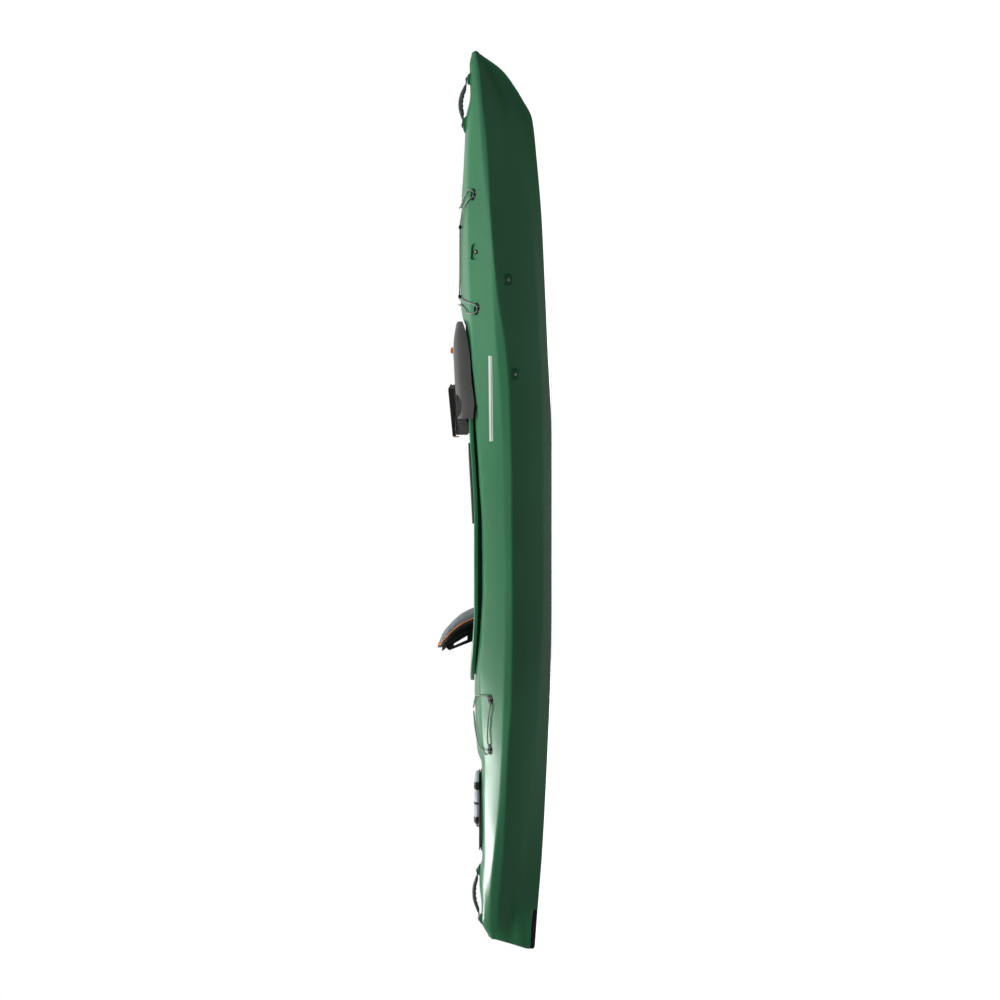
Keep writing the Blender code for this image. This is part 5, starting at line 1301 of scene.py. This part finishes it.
def rear_hatch():
    rim = hatch_ring(0.0, 0.029, HATCH_SEAT_Z + GAP, HATCH_RIM_TOP, 0.0010)
    add_piece("hatch_rim_ring", rim, "hull", DARK_PLASTIC, ["hatch_rim"])
    seal = hatch_ring(0.010, 0.012, GASKET_LOW, GASKET_LOW + 0.0018, 0.0006)
    add_piece("hatch_seal", seal, "hatch_lid", RUBBER, ["hatch_gasket"])

    levels = ((0.0016, COVER_LOW), (0.0010, COVER_LOW + 0.0006), (0.0010, COVER_LOW + 0.0034),
              (0.0017, COVER_LOW + 0.0044), (0.0032, COVER_TOP - 0.0002), (0.0060, COVER_TOP),
              (0.0110, COVER_TOP), (0.0116, COVER_TOP - 0.0012), (0.0134, COVER_TOP - 0.0012),
              (0.0140, COVER_TOP), (0.060, COVER_TOP))
    rings = [oval_ring(HATCH_X, HATCH_HALF_LENGTH - inset, HATCH_HALF_WIDTH - inset, z, HATCH_POWER)
             for inset, z in levels]
    add_piece("hatch_lid_shell", loft(rings), "hatch_lid", DARK_PLASTIC, ["hatch_cover"])
    rings = [oval_ring(PANEL_CENTRE, PANEL_HALF_LENGTH - inset, PANEL_HALF_WIDTH - inset, PANEL_LOW + rise,
                       PANEL_POWER) for inset, rise in PANEL_STEPS]
    add_piece("hatch_raised_panel", loft(rings), "hatch_lid", HATCH_LIGHT, ["hatch_panel"], sharp=50.0)

    for number, (x, width, buckled) in enumerate(HATCH_STRAPS, 1):
        strap_over_hatch(f"hatch_strap_{number}", x, width)
        if buckled:
            for side_name, side in SIDES:
                hatch_buckle(f"hatch_buckle_{side_name}_{number}", x, side, width + 0.009)


# ------------------------------------------------------------ soft goods
PAD_VOXEL = 0.0055
PAD_PRESSURE = 4.0
PAD_TRAVEL = 0.007                  # the most that a point may swell
PAD_FRAMES = 20
SEAM_DEPTH = 0.0028
SEAM_WIDTH = 0.0045


def swell(piece, limit):
    """Stuffs a closed piece with cloth pressure; no point moves further than its travel or past its limit."""
    even = piece.modifiers.new("even_mesh", "REMESH")
    even.mode = "VOXEL"
    even.voxel_size = PAD_VOXEL
    settle(piece)
    rest = [vertex.co.copy() for vertex in piece.data.vertices]
    cloth = piece.modifiers.new("stuffing", "CLOTH")
    cloth.settings.use_pressure = True
    cloth.settings.uniform_pressure_force = PAD_PRESSURE
    cloth.settings.quality = 5
    cloth.settings.effector_weights.gravity = 0.0
    cloth.point_cache.frame_start = 1
    cloth.point_cache.frame_end = PAD_FRAMES
    for step in range(1, PAD_FRAMES + 1):
        bpy.context.scene.frame_set(step)
    evaluated = piece.evaluated_get(bpy.context.evaluated_depsgraph_get())
    moved = [vertex.co.copy() for vertex in evaluated.data.vertices]
    piece.modifiers.clear()
    bpy.context.scene.frame_set(1)
    for vertex, start, end in zip(piece.data.vertices, rest, moved):
        travel = end - start
        if travel.length > PAD_TRAVEL:
            travel = travel.normalized() * PAD_TRAVEL
        vertex.co = start + travel
    for vertex in piece.data.vertices:
        vertex.co = limit(vertex.co)
    smooth = piece.modifiers.new("finer", "SUBSURF")
    smooth.levels = smooth.render_levels = 1
    settle(piece)


def sew(piece, lines, facing):
    """Presses seams into the side of a pad that faces a direction; lines give the distance from a seam."""
    mesh = piece.data
    normals = [normal.vector.copy() for normal in mesh.vertex_normals]
    for vertex, normal in zip(mesh.vertices, normals):
        if normal.dot(facing) < 0.25:
            continue
        nearest = min(line(vertex.co) for line in lines)
        vertex.co -= normal * SEAM_DEPTH * math.exp(-(nearest / SEAM_WIDTH) ** 2)


def seat_top(x, y):
    along = (x - SEAT_REAR_X) / (SEAT_FRONT_X - SEAT_REAR_X)
    dish = 0.016 * (abs(y) / SEAT_HALF_WIDTH) ** 2
    return 0.062 + dish + 0.020 * along ** 2 + 0.006 * (1 - along) ** 2


def seat_cushion():
    """The seat's padded bottom, with sewn channels and a border seam."""
    rings = []
    columns = [math.sin(math.pi / 2 * k / 12) for k in range(-12, 13)]
    stations = [(-0.4145, 0.40), (-0.409, 0.72), (-0.400, 0.90), (-0.385, 1.0)]
    stations += [(mix(-0.36, -0.12, k / 9), 1.0) for k in range(10)]
    stations += [(-0.098, 1.0), (-0.084, 0.90), (-0.075, 0.72), (-0.0695, 0.40)]
    for x, part in stations:
        base = [seat_top(x, c * SEAT_HALF_WIDTH) + GAP + 0.0012 for c in columns]
        bottom = [Vector((x, c * CUSHION_HALF_WIDTH, z)) for c, z in zip(columns, base)]
        top = [Vector((x, c * CUSHION_HALF_WIDTH, z + CUSHION_THICKNESS * part * (1 - 0.45 * c ** 6)))
               for c, z in zip(columns, base)]
        rings.append(bottom + list(reversed(top)))
    cushion = new_object("seat_pad", loft(rings))

    def above_seat(point):
        y = point.y / CUSHION_HALF_WIDTH * SEAT_HALF_WIDTH
        return Vector((point.x, point.y, max(point.z, seat_top(point.x, y) + GAP + 0.0008)))

    swell(cushion, above_seat)
    lines = [lambda p: abs(abs(p.y) - 0.060) if -0.39 < p.x < -0.09 else 1.0,
             lambda p: abs(p.x + 0.20) if abs(p.y) < 0.062 else 1.0,
             lambda p: abs(p.x + 0.29) if abs(p.y) < 0.062 else 1.0,
             lambda p: min(abs(abs(p.y) - 0.138), abs(p.x + 0.393), abs(p.x + 0.090))]
    sew(cushion, lines, Vector((0, 0, 1)))
    cushion.data.shade_smooth()
    place_piece(cushion, "hull", SEAT_CLOTH, ["seat_cushion"])


def back_surface(line, z, y):
    return on_line(line, z) - BACK_WRAP * (1 - (abs(y) / BACK_HALF_WIDTH) ** 2)


def back_width(z):
    return BACK_HALF_WIDTH * on_line(
        [(0.112, 0.80), (0.20, 0.93), (0.32, 1.0), (0.42, 0.98), (0.450, 0.90), (0.470, 0.66)], z)


def shell_front(z, y):
    """Fore face of the backrest's shell, and of the pad's rear above the shell's top."""
    if z > 0.452:
        return back_surface(BACK_SHELL_LINE, 0.459, y) + 0.004 + (z - 0.452)
    return back_surface(BACK_SHELL_LINE, z, y) + 0.009 + 0.0022


def back_shell():
    """Curved moulded shell with two arms down to the hinge pins."""
    levels = [mix(0.150, 0.452, k / 34) for k in range(35)]
    columns = [k / 14 for k in range(-14, 15)]
    rings = []
    for z in levels:
        half = back_width(z)
        rear = [Vector((back_surface(BACK_SHELL_LINE, z, c * half), c * half, z)) for c in columns]
        front = [Vector((p.x + 0.009, p.y, p.z)) for p in reversed(rear)]
        rings.append(rear + front)
    shell = new_object("back_support", loft(rings))
    for side in (1, -1):
        low, high = side * (SEAT_EAR[0] - 0.010), side * (SEAT_EAR[0] - 0.001)
        arm = [(-0.466, 0.110), (-0.444, 0.110), (-0.441, 0.130), (-0.444, 0.146), (-0.461, 0.149),
               (-0.4660, 0.200), (-0.473, 0.235), (-0.484, 0.235), (-0.478, 0.150)]
        cut(shell, "UNION", side_prism(arm, low, high))
    cut(shell, "DIFFERENCE", crosswise_bore(BACK_AXIS, 0.3, HINGE_PIN_RADIUS, 24))
    finish_edges(shell, 0.0022, 3, bevel_angle=40.0)
    place_piece(shell, "backrest", SEAT_PLASTIC, ["back_shell"])


def back_pad():
    """Padded back cushion with sewn channels."""
    levels = [0.170, 0.174, 0.182] + [mix(0.20, 0.43, k / 16) for k in range(17)]
    levels += [0.442, 0.452, 0.459, 0.464]
    columns = [math.sin(math.pi / 2 * k / 14) for k in range(-14, 15)]
    rings = []
    for z in levels:
        half = back_width(z) - 0.006
        rear, front = [], []
        for c in columns:
            near = shell_front(z, c * half) + 0.0010
            far = back_surface(BACK_PAD_LINE, z, c * half) - 0.005
            ends = min(1.0, 0.45 + (z - 0.170) / 0.022) * min(1.0, 0.55 + (0.466 - z) / 0.03)
            edge = (1 - 0.42 * abs(c) ** 8) * ends
            rear.append(Vector((near, c * half, z)))
            front.append(Vector((mix(near, max(far, near + 0.010), edge), c * half, z)))
        rings.append(rear + list(reversed(front)))
    pad = new_object("back_cushion", loft(rings))

    def before_shell(point):
        return Vector((max(point.x, shell_front(point.z, point.y) - 0.0006), point.y, point.z))

    swell(pad, before_shell)
    lines = [lambda p: abs(abs(p.y) - 0.066) if p.z > 0.19 else 1.0,
             lambda p: abs(p.z - 0.345) if abs(p.y) < 0.068 else 1.0,
             lambda p: abs(p.z - 0.265) if abs(p.y) < 0.068 else 1.0,
             lambda p: abs(abs(p.y) - back_width(p.z) + 0.026)]
    sew(pad, lines, Vector((0.85, 0, 0.5)).normalized())
    pad.data.shade_smooth()
    place_piece(pad, "backrest", BACK_CLOTH, ["back_pad"])


def back_piping():
    """Orange piping around the back cushion's rear edge."""
    path = []
    for z in [mix(0.176, 0.440, k / 30) for k in range(31)] + [0.446, 0.452, 0.457, 0.461, 0.4645]:
        half = back_width(z) - 0.0015
        path.append(Vector((shell_front(z, half) + 0.0042, half, z)))
    top = path[-1]
    across = [Vector((shell_front(0.467, y) + 0.0042, y, 0.4675)) for y in
              (mix(top.y - 0.012, 0.0, k / 8) for k in range(9))]
    half_path = path + across
    path = half_path + [mirrored(p) for p in reversed(half_path[:-1])]
    piping = new_object("back_piping", tube(path, 0.0027, 14))
    piping.data.shade_smooth()
    place_piece(piping, "backrest", PIPING)


def thigh_pads():
    """Foam pads over the inner edge of the coaming."""
    for side_name, side in SIDES:
        rings = []
        for k in range(41):
            x = mix(*THIGH_PAD_ENDS, k / 40)
            inner = lip_half_width(x) - COAMING_LIP
            top = on_line(RIM_HEIGHT, x) + 0.0012
            taper = 0.35 + 0.65 * math.sin(math.pi * mix(0.08, 0.92, k / 40)) ** 0.5
            thick, drop = 0.0085 * taper, 0.070 * taper
            section = [
                (inner + 0.020, top), (inner - 0.0016, top), (inner - 0.0030, top - drop),
                (inner - 0.0034 - 0.5 * thick, top - drop - 0.0012), (inner - 0.0030 - thick, top - drop),
                (inner - 0.0026 - thick, top - 0.5 * drop), (inner - 0.0016 - thick, top - 0.006),
                (inner - 0.0012 - 0.8 * thick, top - 0.001 + 0.3 * thick), (inner - 0.006, top + 0.9 * thick),
                (inner + 0.004, top + thick), (inner + 0.016, top + 0.85 * thick),
                (inner + 0.020, top + 0.5 * thick),
            ]
            rings.append([Vector((x, side * y, z)) for y, z in section])
        pad = add_piece(f"thigh_brace_{side_name}", loft(rings), "hull", FOAM, [f"thigh_pad_{side_name}"],
                        sharp=60.0)


# ------------------------------------------------------------ foot braces
def pedal_treads():
    """Raised treads on the rear face of each foot pedal."""
    rear, front = (side_point(x, z)[0] for x, z in BRACE_SCREWS)
    out = brace_direction()
    middle = (rear + front) / 2 - out * BRACE_DEPTH
    along = (front - rear).normalized()
    up = along.cross(out)
    up = -up if up.z < 0 else up
    port = Matrix.Translation(middle) @ Matrix((along, out, up)).transposed().to_4x4()
    inner = -0.010 - 0.0006
    for side_name, side in SIDES:
        place = Matrix.Diagonal((1, side, 1, 1)) @ port
        bars = []
        for z in (mix(-0.034, 0.042, k / 6) for k in range(7)):
            low, high = (-0.0274, inner - 0.082, z - 0.0022), (-0.0255, inner - 0.016, z + 0.0022)
            bars.append(box(low, high, place))
        add_piece(f"foot_treads_{side_name}", merged(bars), f"pedal_{side_name}", RUBBER, bevel=0.0006,
                  segments=2)


# ------------------------------------------------------------ console
def rounded_line(points, radius):
    """An open line with its inner corners rounded."""
    made = [points[0]]
    steps = 5
    for before, corner, after in zip(points, points[1:], points[2:]):
        start, end = (corner + way.normalized() * min(radius, 0.45 * way.length)
                      for way in (before - corner, after - corner))
        made += [bend(start, corner, end, k / steps) for k in range(steps + 1)]
    made.append(points[-1])
    return made


def console_half_width(x):
    u = (x - COCKPIT_CENTRE_X) / (CONSOLE_FRONT_X + 0.012 - COCKPIT_CENTRE_X)
    return (COCKPIT_HALF_WIDTH + COAMING_LIP + 0.016) * cockpit_taper(u)


def console_section(x, skin):
    half = console_half_width(x) - skin
    low = on_line(CONSOLE_SKIRT, x)
    top = on_line(CONSOLE_TOP, x) - skin
    height = top - low
    shoulder = min(0.032, 0.45 * half)
    side = [(half, low), (half - 0.12 * shoulder, low + 0.45 * height),
            (half - 0.36 * shoulder, top - 0.22 * height), (half - shoulder, top - 0.05 * height)]
    points = [Vector((x, -y, z)) for y, z in side] + [Vector((x, 0.0, top))]
    points += [Vector((x, y, z)) for y, z in reversed(side)]
    return rounded_line(points, min(0.014, 0.3 * half))


def scoop(y_low, y_high, grown):
    """The dip in the console's side beside a cup holder."""
    outline = []
    for k in range(25):
        angle = math.pi * (1 + k / 24)
        outline.append((SCOOP_CENTRE[0] + (SCOOP_SIZE[0] + grown) * math.cos(angle),
                        SCOOP_CENTRE[1] + (SCOOP_SIZE[1] + grown) * math.sin(angle)))
    return side_prism(outline + [(outline[-1][0], 0.46), (outline[0][0], 0.46)], y_low, y_high)


def console():
    stations = [mix(CONSOLE_BODY_X, 0.66, k / 34) for k in range(35)]
    stations += [mix(0.665, CONSOLE_FRONT_X, 1 - (1 - k / 16) ** 1.6) for k in range(17)]
    outside = [console_section(x, 0.0) for x in stations]
    body = new_object("console_shell", loft(outside))
    inner = []
    for x in [CONSOLE_BODY_X - 0.02] + [x for x in stations if x < 0.7285]:
        section = [Vector((x, p.y, p.z)) for p in console_section(max(x, CONSOLE_BODY_X), CONSOLE_SKIN)]
        section[0].z -= 0.05
        section[-1].z -= 0.05
        inner.append(section)
    cut(body, "DIFFERENCE", loft(inner))
    tub = [(0.270, 0.348), (0.270, 0.3935), (0.456, 0.4093), (0.456, 0.300), (0.300, 0.300), (0.286, 0.335)]
    cut(body, "UNION", side_prism(tub, -0.100, 0.100))
    wings, walls, bores = [], [], []
    for _, side in SIDES:
        low_y, high_y = sorted((side * 0.090, side * 0.262))
        wings.append(box((0.3185, low_y, 0.350), (0.3520, high_y, 0.3805)))
        cup = Matrix.Translation((CUP_X, side * CUP_Y, CUP_FLOOR_Z))
        walls.append(cylinder(CUP_RADIUS + CONSOLE_SKIN, -CONSOLE_SKIN, CUP_DEPTH, cup, 64))
        bores.append(turned([(CUP_RADIUS - 0.003, 0.0), (CUP_RADIUS - 0.0008, 0.0009), (CUP_RADIUS, 0.003),
                             (CUP_RADIUS, 0.2)], cup, 64))
    cut(body, "UNION", merged(wings))
    cut(body, "UNION", merged(walls))
    troughs = new_object("cup_troughs", merged([scoop(side * CUP_Y, side * 0.30, CONSOLE_SKIN)
                                                for _, side in SIDES]))
    cut(troughs, "INTERSECT", loft(outside))
    cut(body, "UNION", taken_back(troughs))
    cut(body, "DIFFERENCE", merged([scoop(side * CUP_Y, side * 0.32, 0.0) for _, side in SIDES]))
    cut(body, "DIFFERENCE", merged(bores))
    tub_inside = [(0.274, 0.350), (0.274, 0.50), (0.452, 0.50), (0.452, 0.304), (0.303, 0.304),
                  (0.290, 0.337)]
    cut(body, "DIFFERENCE", side_prism(tub_inside, -0.096, 0.096))
    ear = [(0.458, 0.390), (0.4585, 0.4135), (0.4600, 0.4165), (0.4620, 0.4180), (0.4700, 0.4180),
           (0.4722, 0.4165), (0.4735, 0.4135), (0.478, 0.390)]
    cut(body, "UNION", merged([side_prism(ear, side * 0.1048, side * 0.1110) for _, side in SIDES]))
    cut(body, "DIFFERENCE", crosswise_bore(LID_AXIS, 0.13, LID_PIN_RADIUS, 20))
    notch = [(0.556, 0.420), (0.5605, 0.4000), (0.563, 0.3985), (0.572, 0.3985), (0.5745, 0.4000),
             (0.579, 0.420)]
    cut(body, "DIFFERENCE", side_prism(notch, -0.020, 0.020))
    finish_edges(body, 0.0009, 2, sharp=32.0, bevel_angle=50.0)
    place_piece(body, "console", CONSOLE_GREY, ["console_body"])


rear_hatch()
seat_cushion()
back_shell()
back_pad()
back_piping()
thigh_pads()
side_marking()
pedal_treads()
console()
for node, finish, bevel in (
    ("seat_base", SEAT_PLASTIC, 0.004), ("back_frame", SEAT_PLASTIC, 0.0014), ("rear_bulkhead", FOAM, 0.004),
    ("bow_foam_pillar", FOAM, 0.004), ("console_lid", LID_PLASTIC, 0.0014),
    ("lid_latch", ORANGE_PLASTIC, 0.0008), ("console_release", ORANGE_PLASTIC, 0.0014),
    ("lid_hinge_pin", STEEL, 0.0),
):
    refined(node, finish, bevel)
for side_name, _ in SIDES:
    refined(f"back_hinge_pin_{side_name}", STEEL, 0.0006, 2)
    refined(f"foot_rail_{side_name}", DARK_PLASTIC, 0.0014)
    refined(f"foot_pedal_{side_name}", DARK_PLASTIC, 0.0018)
    refined(f"foot_trigger_{side_name}", ORANGE_PLASTIC, 0.0012)
    for number in (1, 2):
        refined(f"console_clip_{side_name}_{number}", RUBBER, 0.0007, 2)


# ------------------------------------------------------------ floor, backdrop and light
FLOOR_RADIUS = 49.0
DOME_RADIUS = 50.0


def stage():
    floor = new_object("floor", cylinder(FLOOR_RADIUS, -0.0015, -0.0005, Matrix.Identity(4), 64))
    paint, tree, shader = shader_material("pale_floor", (0.86, 0.86, 0.86), 0.9)
    shader.inputs["Specular IOR Level"].default_value = 0.0
    shader.inputs["Emission Color"].default_value = (1.0, 1.0, 1.0, 1.0)
    shader.inputs["Emission Strength"].default_value = 0.72

    angles = [math.radians(degrees) for degrees in range(-10, 90, 9)]
    profile = [(DOME_RADIUS * math.cos(a), DOME_RADIUS * math.sin(a) - 1.0) for a in angles]
    dome = new_object("backdrop", turned(profile, Matrix.Identity(4), 64))
    white = bpy.data.materials.new("white_backdrop")
    white.use_nodes = True
    tree = white.node_tree
    tree.nodes.clear()
    glow = add_node(tree, "ShaderNodeEmission", {"Color": (1.0, 1.0, 1.0, 1.0), "Strength": 1.0})
    output = add_node(tree, "ShaderNodeOutputMaterial")
    tree.links.new(glow.outputs[0], output.inputs["Surface"])
    for piece, material in ((floor, paint), (dome, white)):
        piece.data.materials.append(material)
        for flag in ("visible_diffuse", "visible_glossy", "visible_transmission", "visible_shadow"):
            setattr(piece, flag, False)


def area_light(name, place, target, width, height, power, **seen_by):
    lamp = bpy.data.lights.new(name, "AREA")
    lamp.shape = "RECTANGLE"
    lamp.size, lamp.size_y = width, height
    lamp.energy = power
    light = bpy.data.objects.new(name, lamp)
    ahead = (Vector(target) - Vector(place)).normalized()
    light.matrix_world = Matrix.Translation(place) @ frame_along(-ahead)
    for kind, seen in seen_by.items():
        setattr(light, "visible_" + kind, seen)
    bpy.context.scene.collection.objects.link(light)


def studio_surround():
    """A pale floor below, a dim room in front of the boat and a light wall behind it, by direction."""
    world = bpy.data.worlds.new("studio")
    bpy.context.scene.world = world
    world.use_nodes = True
    tree = world.node_tree
    sky = tree.nodes["Background"]
    direction = add_node(tree, "ShaderNodeTexCoord").outputs["Generated"]
    where = add_node(tree, "ShaderNodeSeparateXYZ", {"Vector": direction}).outputs
    glossy = add_node(tree, "ShaderNodeLightPath").outputs["Is Glossy Ray"]
    below = product(tree, spread(tree, where["Z"], 0.0, 0.34, -0.05, -0.45),
                    spread(tree, glossy, 1.0, 0.3, 0.0, 1.0))
    above = spread(tree, where["Z"], 0.03, 0.42, 0.10, 0.60)
    behind = product(tree, spread(tree, where["Y"], 0.0, 0.45, 0.15, 0.55),
                     spread(tree, where["Z"], 0.0, 1.0, -0.30, 0.02))
    total = math_node(tree, "ADD", math_node(tree, "ADD", below, above), behind)
    tree.links.new(total, sky.inputs["Strength"])
    sky.inputs["Color"].default_value = (1.0, 1.0, 1.0, 1.0)


def lighting():
    view = bpy.context.scene.view_settings
    view.view_transform = "Standard"
    view.look = "None"
    studio_surround()
    area_light("key_strip", (0.1, -1.0, 3.2), (0.0, -0.1, 0.2), 5.4, 0.7, 145.0, glossy=False)
    area_light("stern_strip", (-2.2, 0.35, 3.2), (-1.45, -0.13, 0.26), 1.0, 0.7, 95.0, diffuse=False)


stage()
lighting()
